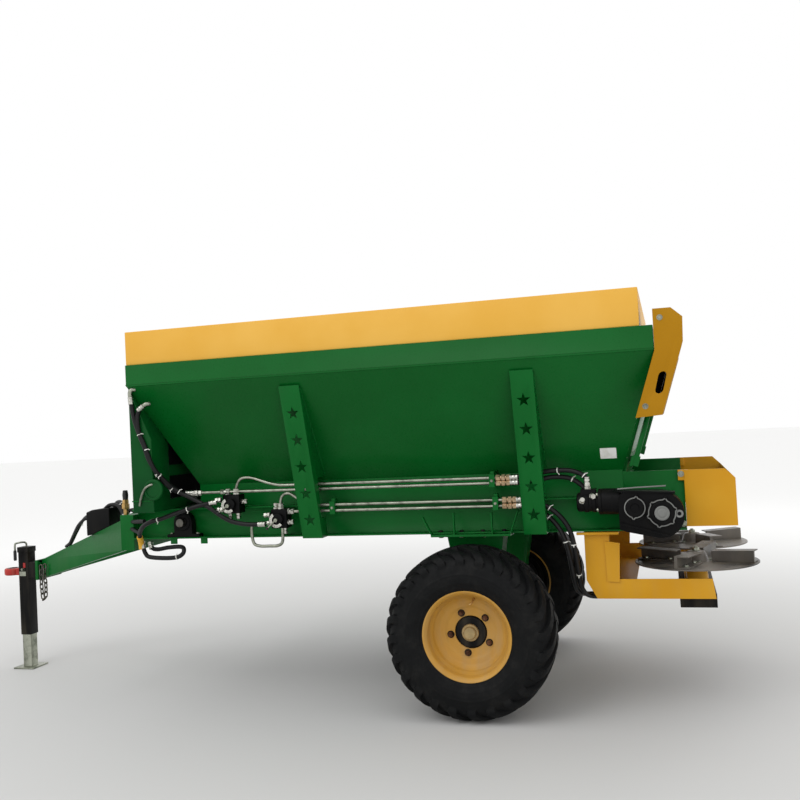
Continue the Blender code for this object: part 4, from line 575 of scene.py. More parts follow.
# %% Tyre surface
BAR_COUNT = 24
BAR_HEIGHT = 0.020
BAR_SLANT = 1.15             # turns of bar spacing between the middle and the shoulder
BAR_STEPS = np.array([0.0, 0.045, 0.16, 0.25, 0.34, 0.455, 0.5, 0.545, 0.66, 0.75, 0.84, 0.955])
CARCASS = [(0.4005, 0.0), (0.3995, 0.045), (0.3955, 0.088), (0.3840, 0.122), (0.3640, 0.1430), (0.3400, 0.1545),
           (0.3120, 0.1610), (0.2850, 0.1625), (0.2600, 0.1575), (0.2400, 0.1480), (0.2270, 0.1405),
           (0.2215, 0.1385)]


def tyre_shape(side):
    """Point = axle + radius(s)*(sin a, cos a) + distance(s)*side, moved along the carcass's own normal.

    s runs across the tyre, a round it. a = step's share of a turn + slant * (arc from the middle). The
    height is bar height where the bar's phase is in its own half and s is on its own side, plus rings.
    """
    fine = smooth_path([(r, d, 0.0) for r, d in CARCASS], 40)[:, :2]
    arc = np.concatenate([[0.0], np.cumsum(np.linalg.norm(np.diff(fine, axis=0), axis=1))])
    wanted = np.unique(np.concatenate([np.linspace(0.0, arc[-1], 76), [0.014, 0.018]]))
    half = np.stack([np.interp(wanted, arc, fine[:, k]) for k in (0, 1)], axis=1)
    profile = np.vstack([half[:0:-1] * (1, -1), half])
    across = np.concatenate([-wanted[:0:-1], wanted])
    tangent = np.gradient(profile, axis=0)
    normal = np.stack([tangent[:, 1], -tangent[:, 0]], axis=1)
    normal /= np.linalg.norm(normal, axis=1)[:, None]
    turns = (np.arange(BAR_COUNT)[:, None] + BAR_STEPS[None]).ravel()
    phase = np.tile(BAR_STEPS, BAR_COUNT)
    inner = np.interp(np.abs(across), wanted, half[:, 0])
    reach = np.clip(np.abs(across) / 0.150, 0.0, 1.0)
    angle = (turns[:, None] + BAR_SLANT * reach[None] ** 1.25) * 2 * np.pi / BAR_COUNT
    first = np.interp(phase, [0.0, 0.045, 0.455, 0.5, 1.0], [0, 1, 1, 0, 0])
    second = np.interp(phase, [0.0, 0.5, 0.545, 0.955, 1.0], [0, 0, 1, 1, 0])
    own = np.clip((0.018 - across) / 0.004, 0, 1)
    other = np.clip((0.018 + across) / 0.004, 0, 1)
    fade = np.clip((inner - 0.336) / 0.030, 0.0, 1.0)
    fade = fade * fade * (3 - 2 * fade)
    bars = np.maximum(first[:, None] * own[None], second[:, None] * other[None])
    crown = np.interp(inner, [0.33, 0.385, 0.40], [0.55, 1.0, 0.965])
    rings = (0.0022 * np.exp(-((inner - 0.303) / 0.0035) ** 2) + 0.0012 * np.exp(-((inner - 0.262) / 0.003) ** 2)
             + 0.0020 * np.exp(-((inner - 0.236) / 0.0035) ** 2))
    height = BAR_HEIGHT * bars * (fade * crown)[None] + rings[None]
    radius = profile[None, :, 0] + height * normal[None, :, 0]
    distance = profile[None, :, 1] + height * normal[None, :, 1]
    bead = np.array([(0.2036, 0.126), (0.2036, -0.126)])
    a_bead = angle[:, -1:]
    radius = np.hstack([radius, np.broadcast_to(bead[:, 0], (len(turns), 2))])
    distance = np.hstack([distance, np.broadcast_to(bead[:, 1], (len(turns), 2))])
    angle = np.hstack([angle, a_bead, angle[:, :1]])
    points = np.stack([AXLE_X + radius * np.sin(angle), side * (HALF_TRACK + distance),
                       AXLE_Z + radius * np.cos(angle)], axis=-1)
    rows, columns = radius.shape
    return points.reshape(-1, 3), grid_faces(rows, columns, wrap_rows=True)


for name, side in SIDES:
    tyre = piece("tyre_tread_" + name, tyre_shape(side), TYRE, "wheel_" + name, "tyre_rubber",
                 ("tyre_" + name,), angle=38.0)
    print(tyre.name, len(tyre.data.polygons), "faces")

# %% [markdown]
# ## Wheels
#
# A farm wheel is a rolled rim with bead seats and a drop well, welded to a dished disc. Five studs on a
# 205 mm circle hold it to a black hub, whose greasy cap stands out of the middle.

# %% Rims, hubs, nuts and valves
RIM = [(0.2205, -0.140), (0.2205, -0.132), (0.2025, -0.126), (0.2025, -0.090), (0.1685, -0.065), (0.1685, 0.030),
       (0.2025, 0.090), (0.2025, 0.126), (0.2205, 0.132), (0.2205, 0.140), (0.2145, 0.140), (0.1975, 0.124),
       (0.1955, 0.092), (0.1830, 0.074), (0.1800, 0.060), (0.1640, 0.046), (0.1560, 0.040), (0.1300, 0.038),
       (0.1220, 0.031), (0.0805, 0.030), (0.0805, 0.021), (0.1240, 0.021), (0.1600, 0.012), (0.1625, -0.061),
       (0.1965, -0.088), (0.1965, -0.122), (0.2145, -0.140)]
HUB = [(0.0306, -0.164), (0.058, -0.164), (0.060, 0.0067), (0.118, 0.0067), (0.118, 0.0207), (0.0765, 0.0207),
       (0.0745, 0.036), (0.0700, 0.038), (0.0306, 0.038)]
HUB_CAP = [(0.0, 0.037), (0.042, 0.037), (0.042, 0.050), (0.0395, 0.053), (0.0315, 0.053), (0.0310, 0.066),
           (0.0270, 0.0705), (0.0, 0.0715)]
STUD_CIRCLE = 0.1025


def cut_corners(profile, share=0.16):
    """Each corner becomes two points, a share of the way along its two sides, so it turns in two steps."""
    p = np.asarray(profile, float)
    following = np.roll(p, -1, axis=0)
    near, far = p + share * (following - p), following - share * (following - p)
    cut = np.stack([near, far], axis=1).reshape(-1, 2)
    return np.vstack([cut, cut[:1]])


def hex_nut(across, height, washer=1.35):
    """A hexagonal head on its washer, along +Z: six-sided profile with a cut top corner, and a disc."""
    r = across / math.sqrt(3)
    head = turned_shape([(0, 0.0012), (r, 0.0012), (r, 0.72 * height), (0.86 * r, height), (0, height)],
                        (0, 0, 0), (0, 0, 1), 6)
    disc = turned_shape([(0, -0.0004), (washer * r, -0.0004), (washer * r, 0.0018), (0, 0.0018)],
                        (0, 0, 0), (0, 0, 1), 20)
    return together(head, disc)


def stud_nut(across, height, proud):
    """A nut with its threaded stud standing out of it."""
    r = 0.28 * across
    stud = turned_shape([(0, 0), (r, 0), (r, height + proud - 0.001), (r - 0.001, height + proud),
                         (0, height + proud)], (0, 0, 0), (0, 0, 1), 14)
    return together(hex_nut(across, height, 1.25), stud)


# Behind the rim's yellow lies a thin black liner, so the wheel reads dark from behind: painted shade.
SHADE_LINER_GAP, SHADE_LINER = 0.0006, 0.0004
behind = cut_corners(RIM)[40:52] - SHADE_LINER_GAP    # the rim's hidden side, lined black to stand for the shade inside the wheel: painted shade
RIM_BACK_SHADE = np.vstack([behind, behind[::-1] - SHADE_LINER, behind[:1]])
for name, side in SIDES:
    body, centre, out = "wheel_" + name, (AXLE_X, side * HALF_TRACK, AXLE_Z), (0, side, 0)
    piece("rim_back_shade_" + name, turned_shape(RIM_BACK_SHADE, centre, out, 96), BLACK, body, "black_paint", angle=50.0)
    piece("rim_" + name, turned_shape(cut_corners(RIM), centre, out, 96), YELLOW_RIM, body, "yellow_paint",
          ("wheel_rim_" + name,), angle=50.0)
    piece("hub_body_" + name, turned_shape(cut_corners(HUB, 0.08), centre, out, 64), BLACK, body, "black_paint",
          ("hub_" + name,), angle=30.0)
    piece("hub_cap_" + name, turned_shape(HUB_CAP, centre, out, 48), CAP, body, "steel", angle=30.0)
    turn = np.radians(np.arange(5) * 72.0 - 25.0)
    nut_y = side * (HALF_TRACK + 0.0305)
    places = np.stack([AXLE_X + STUD_CIRCLE * np.sin(turn), np.full(5, nut_y),
                       AXLE_Z + STUD_CIRCLE * np.cos(turn)], axis=1)
    # Black discs round the studs stand for the dark of the stud recesses: painted shade.
    piece("stud_recess_shade_" + name, copies(turned_shape([(0, 0), (0.0185, 0), (0.0175, 0.0022), (0, 0.0022)],
                                                    (0, 0, 0), (0, 0, 1), 24), places, [out] * 5),
          BLACK, body, "black_paint")
    piece("wheel_nuts_" + name, copies(stud_nut(0.024, 0.015, 0.007), places, [out] * 5), RUSTY, body, "steel")
    stem = smooth_path([(AXLE_X + x, side * (HALF_TRACK + y), AXLE_Z + z) for x, y, z in (
        (0.028, 0.050, 0.168), (0.026, 0.064, 0.162), (0.020, 0.074, 0.150), (0.008, 0.078, 0.142))], 8)
    width = np.interp(np.linspace(0, 1, len(stem)), [0, 0.25, 0.3, 0.7, 0.72, 1.0],
                      [0.0075, 0.0065, 0.0042, 0.0040, 0.0052, 0.0050])
    piece("valve_stem_" + name, swept(stem, width, 12), BRASS, body, "steel")

# %% [markdown]
# ## Bolts along the frame
#
# Heads are copied from one small shape, a hexagon with its corners cut on a washer, because there are
# dozens. They sit where the axle seat, the rear plates, the bearings and the covers are bolted.

# %% Bolt heads
M10, M12, M16 = hex_nut(0.017, 0.0070), hex_nut(0.019, 0.0078), hex_nut(0.024, 0.0100)


def bolts(name, shape, left_places, axis, material=ZINC, both=True, body="chassis"):
    """Bolt heads at places on the left side, and the same on the right where asked."""
    left_places = np.asarray(left_places, float)
    made = copies(shape, left_places, [axis] * len(left_places))
    if both:
        made = together(made, mirrored(made))
    return piece(name, made, material, body, "steel")


seat_x = AXLE_X + np.array([-0.165, -0.055, 0.055, 0.165])
FLANGE_Y = -0.632                              # the line of bolts along the rail's flange
bolts("axle_seat_bolts", M12, [(x, FLANGE_Y, RAIL_Z + 0.0085) for x in seat_x], (0, 0, 1), BLACK)
bolts("axle_seat_nuts", M16, [(x, FLANGE_Y, RAIL_Z - 0.0123) for x in seat_x], (0, 0, -1))
bolts("rear_plate_bolts", M12, [(2.0195, -0.6203, 1.149), (2.0195, -0.6203, 0.911)], (0, -1, 0))
bolts("bearing_bolts", M12, [(FRONT_SHAFT_X + s * 0.080, FLANGE_Y, RAIL_Z + 0.0243) for s in (-1, 1)], (0, 0, 1))
cover_face_y = low_high("cylinder_cover_left")[0][1]
bolts("cover_bolts", M10, [(1.965, cover_face_y, 1.880), (1.880, cover_face_y, 1.480)], (0, -1, 0))
print("bolt heads done")

# %% [markdown]
# ## Steel pipes, clamps and fittings
#
# Two pairs of zinc-plated pipes run along the left side. Each starts at a valve with a bend, lies in
# twin clamps, and ends in a union nut, a body and a hose nut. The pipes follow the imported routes.

# %% Pipes along the left side
PIPE_Y, PIPE_RADIUS, HOSE_RADIUS = -0.705, 0.0082, 0.012
VALVE_A, VALVE_B = (AXLE_X - 1.294, RAIL_TOP + 0.022), (AXLE_X - 1.020, RAIL_Z + 0.105)
UPPER = (HOPPER_Z - 0.014, HOPPER_Z - 0.040)
LOWER = (RAIL_TOP + 0.002, RAIL_TOP - 0.028)
PIPE_END_X = AXLE_X + 0.125
UPPER_END_X, LOWER_END_X = PIPE_END_X + 0.024, PIPE_END_X + 0.050


def bent_in(y, end, *places):
    """A path in one upright plane: a bend through places of X and Z, then a straight run to its end."""
    bent = smooth_path([(x, y, z) for x, z in places], 10)
    return np.vstack([bent, np.linspace(bent[-1], (end[0], y, end[1]), 24)[1:]])


ax, az = VALVE_A
bx, bz = VALVE_B
first = bent_in(PIPE_Y, (UPPER_END_X, UPPER[0]), (ax + 0.020, az + 0.050), (ax + 0.020, az + 0.080),
                (ax + 0.040, az + 0.124), (ax + 0.072, az + 0.138), (ax + 0.122, az + 0.134),
                (ax + 0.200, UPPER[0] + 0.018), (ax + 0.262, UPPER[0] + 0.003), (ax + 0.310, UPPER[0]))
second = np.linspace((ax - 0.190, PIPE_Y, UPPER[1]), (UPPER_END_X, PIPE_Y, UPPER[1]), 40)
third = bent_in(PIPE_Y, (LOWER_END_X, LOWER[0]), (bx + 0.004, bz + 0.050), (bx + 0.003, bz + 0.085),
                (bx + 0.012, bz + 0.115), (bx + 0.034, bz + 0.130), (bx + 0.062, bz + 0.128),
                (bx + 0.100, bz + 0.104), (bx + 0.150, LOWER[0] + 0.008), (bx + 0.200, LOWER[0] + 0.001),
                (bx + 0.250, LOWER[0]))
fourth = np.linspace((bx + 0.045, PIPE_Y, LOWER[1]), (LOWER_END_X, PIPE_Y, LOWER[1]), 40)
loop = smooth_path([(bx + x, PIPE_Y - 0.010, bz - z) for x, z in (
    (-0.162, 0.020), (-0.168, 0.070), (-0.158, 0.128), (-0.124, 0.144), (-0.070, 0.145), (-0.020, 0.143),
    (0.008, 0.122), (0.012, 0.050))], 10)
for name, paths in (("upper", (first, second)), ("lower", (third, fourth))):
    metal_piece("steel_pipes_" + name, [swept(path, PIPE_RADIUS) for path in paths], ZINC,
                stands_for=("pipes_" + name,), angle=60.0)
metal_piece("steel_pipe_loop", [swept(loop, PIPE_RADIUS)], ZINC, angle=60.0)

# %% Unions: nuts and sleeves along a line


def union(start, direction, sizes):
    """Turned sleeves (even sides over 8) and hexagons (6 sides) in a row: (sides, radius, length) each."""
    u = np.asarray(direction, float)
    u /= np.linalg.norm(u)
    shapes, at = [], 0.0
    for sides, radius, length in sizes:
        lip = min(0.12 * radius, 0.2 * length)
        profile = [(0, at), (radius - lip, at), (radius, at + lip), (radius, at + length - lip),
                   (radius - lip, at + length), (0, at + length)]
        shapes.append(turned_shape(profile, start, u, sides, phase=0.3))
        at += length - 0.0004
    return together(*shapes)


REAR_UNION = [(6, 0.0155, 0.024), (20, 0.0120, 0.006), (6, 0.0170, 0.020), (20, 0.0120, 0.004), (6, 0.0155, 0.020)]
FRONT_UNION = [(6, 0.0150, 0.018), (20, 0.0115, 0.005), (6, 0.0165, 0.018), (6, 0.0150, 0.016)]
SLEEVE_UNION = [(6, 0.0150, 0.020), (20, 0.012, 0.016), (6, 0.0165, 0.020)]
PORT_UNION = [(6, 0.0165, 0.014), (6, 0.0150, 0.020)]
SIDE_UNION = [(6, 0.0165, 0.014), (20, 0.012, 0.004), (6, 0.0150, 0.020)]
ends = [union((x, PIPE_Y, z), (1, 0, 0), REAR_UNION)
        for x, pair in ((UPPER_END_X, UPPER), (LOWER_END_X, LOWER)) for z in pair]
metal_piece("pipe_unions_rear", ends, CHROMATE, angle=25.0)
starts = [union((x, PIPE_Y, z), way, sizes) for x, z, way, sizes in (
    (ax - 0.186, UPPER[1], (-1, 0, 0), FRONT_UNION), (ax - 0.070, UPPER[1], (1, 0, 0), SLEEVE_UNION),
    (ax + 0.020, az + 0.048, (0, 0, 1), PORT_UNION), (bx + 0.004, bz + 0.048, (0, 0, 1), PORT_UNION),
    (bx + 0.042, LOWER[1], (1, 0, 0), SIDE_UNION))]
metal_piece("pipe_unions_front", starts, SILVER, angle=25.0)

# %% Clamps that hold each pair of pipes


def clamp(x, z_low, z_high, back_y):
    """A clamp block round two pipes with a raised top, and its cover plate."""
    block = together(box_shape((x - 0.014, PIPE_Y - 0.015, z_low - 0.016), (x + 0.014, back_y, z_high + 0.014)),
                     box_shape((x - 0.010, PIPE_Y + 0.002, z_high + 0.008), (x + 0.010, back_y, z_high + 0.032)))
    plate = box_shape((x - 0.014, PIPE_Y - 0.019, z_low - 0.018), (x + 0.014, PIPE_Y - 0.0152, z_high + 0.018))
    return block, plate


blocks, plates, heads = [], [], []
for x, (high, low), back in ((AXLE_X - 0.83, UPPER, WEB_FACE_Y), (PIPE_END_X + 0.006, UPPER, WEB_FACE_Y),
                             (AXLE_X - 0.72, LOWER, RAIL_FACE_Y), (PIPE_END_X + 0.018, LOWER, RAIL_FACE_Y)):
    block, plate = clamp(x, low, high, back)
    blocks.append(block)
    plates.append(plate)
    heads.append((x, PIPE_Y - 0.019, (low + high) / 2))
piece("pipe_clamp_blocks", together(*blocks), GREEN_FRAME, soft=0.003)
piece("pipe_clamp_plates", together(*plates), GREEN_FRAME, soft=0.001)
bolts("pipe_clamp_bolts", hex_nut(0.010, 0.005, 1.2), heads, (0, -1, 0), both=False)

# %% Ribs of the axle seat, on the rail's face
seat_half, seat_out, seat_back = 0.205, RAIL_FACE_Y - 0.030, RAIL_FACE_Y - 0.0004
seat_ribs = [box_shape((AXLE_X - seat_half, seat_out, RAIL_Z - 0.0120),
                       (AXLE_X + seat_half, seat_back, RAIL_Z - 0.0006))]
seat_ribs += [box_shape((AXLE_X + x - 0.003, seat_out + 0.002, RAIL_Z - 0.002),
                        (AXLE_X + x + 0.003, seat_back, RAIL_Z + 0.108)) for x in (-0.083, 0.112)]
for side, rise in ((-1, 0.092), (1, 0.116)):
    foot_x, head_x = AXLE_X + side * (seat_half - 0.004), AXLE_X + side * (seat_half + 0.042)
    seat_ribs.append(plate_shape([(foot_x - 0.003, RAIL_Z - 0.004), (foot_x + 0.003, RAIL_Z - 0.004),
                                  (head_x + 0.003, RAIL_Z + rise), (head_x - 0.003, RAIL_Z + rise)],
                                 seat_out + 0.002, seat_back))
piece("axle_seat_ribs", both_sides(seat_ribs), GREEN_FRAME, soft=0.0012)

# %% [markdown]
# ## Hoses
#
# Rubber hose leaves a fitting straight, then bends wide. Each end has a crimped steel ferrule. Every
# hose here is fixed at both ends and tied to its neighbour, so none of them is a loose cord.

# %% Hoses, ferrules and ties


def ferrule(end, towards, radius=HOSE_RADIUS):
    """A crimped sleeve on a hose end: a turned profile with two waists, a nut behind it."""
    direction = np.asarray(towards, float) - np.asarray(end, float)
    r = radius * 1.22
    profile = [(0, 0), (r, 0.001), (r, 0.010), (r * 0.93, 0.012), (r * 0.93, 0.016), (r, 0.018), (r, 0.026),
               (r * 0.93, 0.028), (r * 0.93, 0.032), (r, 0.034), (r * 0.98, 0.040), (0, 0.040)]
    return turned_shape(profile, end, direction, 24)


def tie(path, where, radius=HOSE_RADIUS, tail=0.02):
    """A flat nylon band round a hose at a share of its length, with its cut tail."""
    index = int(where * (len(path) - 1))
    here, ahead = path[index], path[min(index + 1, len(path) - 1)]
    band = turned_shape([(radius + 0.0002, -0.0024), (radius + 0.0016, -0.0024), (radius + 0.0016, 0.0024),
                         (radius + 0.0002, 0.0024), (radius + 0.0002, -0.0024)], here, ahead - here, 24)
    u, v, n = frame_of(ahead - here)
    up = v if abs(v[2]) > abs(u[2]) else u
    start = here + up * radius
    end = start + up * tail * 0.5 + n * tail * 0.4
    flat = swept(np.linspace(start, end, 4), [0.0022, 0.0022, 0.002, 0.0016], 6)
    return together(band, flat)


hose_shapes, ferrules, ties = [], [], []


def hose(points, tie_places=(), radius=HOSE_RADIUS, ends=(True, True)):
    """Adds a hose along points with ferrules at its ends and ties at the given shares."""
    path = smooth_path(points, 12)
    hose_shapes.append(swept(path, radius, 16))
    if ends[0]:
        ferrules.append(ferrule(path[0], path[3], radius))
    if ends[1]:
        ferrules.append(ferrule(path[-1], path[-4], radius))
    ties.extend(tie(path, share, radius) for share in tie_places)
    return path


def hose_piece(name, *nodes):
    """Makes the hoses gathered so far one piece, then starts afresh."""
    made = piece(name, together(*hose_shapes), HOSE, "chassis", "black_rubber", nodes, angle=70.0)
    hose_shapes.clear()
    return made


THIN_HOSE = 0.0095
union_end, low_end = UPPER_END_X + 0.070, LOWER_END_X + 0.070
motor_top, port_x, motor_y = 1.099, AXLE_X + 0.597, -0.735
hose([(union_end, PIPE_Y, UPPER[0]), (union_end + 0.05, PIPE_Y, UPPER[0] + 0.002), (1.330, -0.706, 1.181),
      (1.430, -0.712, 1.192), (1.510, -0.722, 1.189), (1.566, motor_y, 1.168), (port_x - 0.002, motor_y, 1.146),
      (port_x, motor_y, motor_top + 0.018)], (0.46, 0.74))
hose([(union_end, PIPE_Y, UPPER[1]), (union_end + 0.05, PIPE_Y, UPPER[1]), (1.330, -0.700, 1.146),
      (1.420, -0.694, 1.160), (1.500, -0.690, 1.150), (1.560, -0.694, 1.110), (1.590, -0.706, 1.060),
      (1.612, -0.716, 1.020)], (0.60,))
hose_piece("hoses_to_motor", "motor_hose")
hose([(low_end, PIPE_Y, LOWER[0]), (low_end + 0.03, PIPE_Y, LOWER[0]), (1.320, -0.706, 1.042),
      (1.395, -0.708, 1.010), (1.458, -0.706, 0.950), (1.492, -0.704, 0.880), (1.506, -0.690, 0.790),
      (1.512, -0.655, 0.700), (1.520, -0.600, 0.600), (1.560, -0.500, 0.541), (1.700, -0.420, 0.538),
      (1.840, -0.375, 0.556), (1.930, -0.360, 0.571), (1.985, -0.360, 0.571), (2.012, -0.360, 0.571)],
     (0.22, 0.40, 0.52))
hose([(low_end, PIPE_Y, LOWER[1]), (low_end + 0.03, PIPE_Y, LOWER[1]), (1.310, -0.690, 1.012),
      (1.372, -0.684, 0.976), (1.428, -0.682, 0.916), (1.462, -0.684, 0.840), (1.478, -0.672, 0.750),
      (1.486, -0.640, 0.660), (1.500, -0.560, 0.575), (1.560, -0.430, 0.540), (1.700, -0.330, 0.535),
      (1.850, -0.200, 0.545)], (0.30, 0.46), ends=(True, False))
hose_piece("hoses_to_discs", "spinner_hose")
post_y = -0.8975
hose([(-0.790, post_y, 1.679), (-0.786, post_y, 1.640), (-0.772, post_y, 1.560), (-0.750, post_y, 1.490),
      (-0.722, post_y, 1.430), (-0.700, post_y, 1.370), (-0.676, -0.890, 1.300), (-0.650, -0.860, 1.235),
      (-0.622, -0.815, 1.180), (-0.606, -0.760, 1.150), (-0.592, -0.722, 1.142),
      (ax - 0.238, PIPE_Y, UPPER[1])], (0.30, 0.43, 0.60, 0.74))
hose([(-0.712, post_y, 1.628), (-0.738, post_y, 1.606), (-0.752, post_y, 1.560), (-0.744, -0.899, 1.480),
      (-0.716, -0.899, 1.405), (-0.694, -0.899, 1.340), (-0.662, -0.880, 1.270), (-0.632, -0.840, 1.215),
      (-0.606, -0.795, 1.172), (-0.575, -0.778, 1.145), (-0.541, -0.772, 1.128), (-0.486, -0.770, 1.100),
      (-0.410, -0.770, 1.059), (-0.355, -0.766, 1.019), (-0.290, -0.758, 0.984), (-0.197, -0.755, 0.967),
      (bx - 0.070, -0.750, 0.967)], (0.40, 0.54))
hose([(ax - 0.076, -0.752, 1.090), (-0.440, -0.775, 1.082), (-0.500, -0.795, 1.069), (-0.608, -0.800, 1.039),
      (-0.690, -0.802, 1.013), (-0.757, -0.805, 0.997), (-0.815, -0.790, 0.970), (-0.865, -0.745, 0.925),
      (-0.883, -0.705, 0.870)], (0.30, 0.55))
hose([(-0.880, -0.700, 0.880), (-0.874, -0.700, 0.845), (-0.862, -0.700, 0.812), (-0.836, -0.700, 0.792),
      (-0.742, -0.700, 0.785), (-0.668, -0.698, 0.789), (-0.636, -0.690, 0.806), (-0.633, -0.680, 0.830),
      (-0.660, -0.668, 0.842), (-0.739, -0.660, 0.838), (-0.810, -0.656, 0.828), (-0.850, -0.650, 0.836),
      (-0.868, -0.640, 0.866)], (0.42,))
hose_piece("hoses_front", "front_hose")
box_low, box_high = low_high("hose_box")
hose([(box_low[0] - 0.001, -0.400, 1.000), (-1.426, -0.400, 1.006), (-1.498, -0.362, 0.972), (-1.593, -0.300, 0.893),
      (-1.655, -0.258, 0.836), (-1.693, -0.233, 0.804)], (0.45,), THIN_HOSE, (False, False))
hose([(box_low[0] - 0.001, -0.440, 0.984), (-1.430, -0.440, 0.986), (-1.500, -0.408, 0.945), (-1.580, -0.350, 0.878),
      (-1.640, -0.304, 0.828), (-1.700, -0.262, 0.801)], (), THIN_HOSE, (False, False))
hose([(box_high[0] - 0.030, -0.380, 1.040), (-1.240, -0.390, 1.072), (-1.190, -0.420, 1.080), (-1.130, -0.470, 1.050),
      (-1.080, -0.520, 1.010), (-1.020, -0.590, 0.985), (-0.950, -0.660, 0.985), (-0.860, -0.700, 0.990)],
     (0.35, 0.7), ends=(False, False))
hose([(box_high[0] - 0.070, -0.430, 1.036), (-1.250, -0.440, 1.066), (-1.180, -0.460, 1.060), (-1.120, -0.500, 1.005),
      (-1.060, -0.560, 0.965), (-0.980, -0.640, 0.945), (-0.900, -0.690, 0.925)], (0.5,), ends=(False, False))
COIL_RADIUS, COIL_PITCH = 0.040, 0.004          # the pitch is for each radian
turns = np.linspace(0, 4.2 * np.pi, 60)
coil = np.stack([-1.068 + COIL_RADIUS * np.cos(turns), -0.520 + COIL_PITCH * turns,
                 1.000 + COIL_RADIUS * np.sin(turns)], axis=1)
hose_shapes.append(swept(coil, THIN_HOSE, 12))
hose_piece("hoses_drawbar", "drawbar_hose")
metal_piece("hose_ferrules", ferrules, SILVER, angle=30.0)
metal_piece("hose_ties", ties, NYLON, angle=40.0)
elbows = [swept(smooth_path(points, 6), 0.0115, 14) for points in (
    [(-0.790, post_y, 1.672), (-0.791, post_y, 1.700), (-0.784, -0.893, 1.716), (-0.770, -0.880, 1.718)],
    [(-0.716, post_y, 1.624), (-0.700, post_y, 1.634), (-0.690, -0.892, 1.636), (-0.684, -0.882, 1.636)])]
metal_piece("hose_elbows", elbows, ZINC, angle=50.0)
SLEEVE_RADIUS = 0.0165
bent_sleeve = smooth_path([(-0.874, -0.733, 0.908), (-0.880, -0.714, 0.885), (-0.884, -0.702, 0.860)], 6)
sleeves = together(
    swept(bent_sleeve, SLEEVE_RADIUS, 16),
    turned_shape([(0.012, 0), (SLEEVE_RADIUS, 0), (SLEEVE_RADIUS, 0.03), (0.012, 0.03), (0.012, 0)],
                 (-0.884, -0.700, 0.866), (0, 0, -1), 20))
piece("yellow_hose_sleeves", sleeves, YELLOW_PLASTIC, slot="yellow_paint", angle=50.0)

# %% [markdown]
# ## Flow valves
#
# Each valve is a cast block with a bright crescent dial on its face, a lever across the dial and hexagon
# plugs in its ports. The dial carries plain tick marks only.

# %% Dials, levers and plugs
valve_face_y = low_high("flow_valve_front")[0][1]


def dial(x, z, turn):
    """A crescent plate centred on an angle, its tick marks, and a knob and a lever turned to that angle."""
    a = np.linspace(turn - 1.75, turn + 1.75, 28)
    rim = np.stack([x + 0.040 * np.cos(a), z + 0.040 * np.sin(a)], axis=1)
    hollow = np.stack([x + 0.024 * np.cos(a[::-1]), z + 0.024 * np.sin(a[::-1])], axis=1)
    plate = plate_shape(np.vstack([rim, hollow]), valve_face_y - 0.0035, valve_face_y - 0.0003)
    knob = turned_shape([(0, 0.003), (0.011, 0.003), (0.011, 0.012), (0.0095, 0.015), (0, 0.015)],
                        (x, valve_face_y, z), (0, -1, 0), 28)

    def spot(radius, angle, out):
        """A point in front of the valve's face, at a radius and an angle about the knob."""
        return x + radius * math.cos(angle), valve_face_y - out, z + radius * math.sin(angle)

    tip = spot(0.062, turn, 0.019)
    lever = swept(np.array([(x, valve_face_y - 0.014, z), spot(0.03, turn, 0.015), tip]), [0.0042, 0.004, 0.0034], 12)
    ball = turned_shape([(0, -0.008), (0.006, -0.006), (0.0085, 0), (0.006, 0.006), (0, 0.008)], tip, (0, 1, 0), 18)
    marks = [swept(np.array([spot(r, t, 0.0036) for r in (0.031, 0.038)]), 0.0007, 6)
             for t in np.linspace(turn - 1.4, turn + 1.4, 11)]
    return plate, together(knob, lever), ball, together(*marks)


dials, knobs, balls, marks = zip(dial(ax - 0.006, az - 0.006, 3.75), dial(bx - 0.004, bz - 0.004, 3.85))
metal_piece("valve_dials", dials, SILVER, soft=0.0006)
metal_piece("valve_levers", knobs, ZINC, angle=30.0)
black_piece("valve_lever_balls", balls, BLACK_PLASTIC, angle=50.0)
black_piece("valve_dial_marks", marks, BLACK_PLASTIC, angle=50.0)
PLUG = [(6, 0.0150, 0.012), (20, 0.0110, 0.006), (6, 0.0135, 0.016)]
plugs = [union(place, way, PLUG) for place, way in (
    ((ax - 0.047, -0.752, az + 0.026), (-1, 0, 0)), ((ax - 0.047, -0.735, az - 0.026), (-1, 0, 0)),
    ((ax - 0.022, -0.700, az - 0.049), (0, 0, -1)), ((ax + 0.026, -0.700, az - 0.049), (0, 0, -1)),
    ((ax - 0.030, -0.700, az + 0.049), (0, 0, 1)), ((ax + 0.047, -0.700, az + 0.010), (1, 0, 0)),
    ((bx - 0.043, -0.745, bz + 0.024), (-1, 0, 0)), ((bx - 0.043, -0.712, bz - 0.022), (-1, 0, 0)),
    ((bx - 0.026, -0.700, bz + 0.049), (0, 0, 1)), ((bx + 0.043, -0.712, bz - 0.020), (1, 0, 0)),
    ((bx + 0.020, -0.700, bz - 0.049), (0, 0, -1)))]
metal_piece("valve_plugs", plugs, SILVER, angle=25.0)

# %% [markdown]
# ## Gearbox and motor
#
# The gearbox is cast iron: two round covers with bolted ears, ribs between them and a drain plug. The
# motor in front of it has a square port block and a bolted flange. All of it is sprayed black.

# %% Covers, ears and ribs of the gearbox
face_y = -0.800
OUTWARD = (0, -1, 0)
input_x, input_z = REAR_SHAFT_X - 0.114, SHAFT_Z + 0.035
out_x, out_z = REAR_SHAFT_X + 0.007, SHAFT_Z + 0.009
PLUG_X, PLUG_Z = 2.001, SHAFT_Z + 0.004
BIG_EARS, SMALL_EARS = (6, math.radians(15)), (2, math.radians(80))     # how many, and where the first is


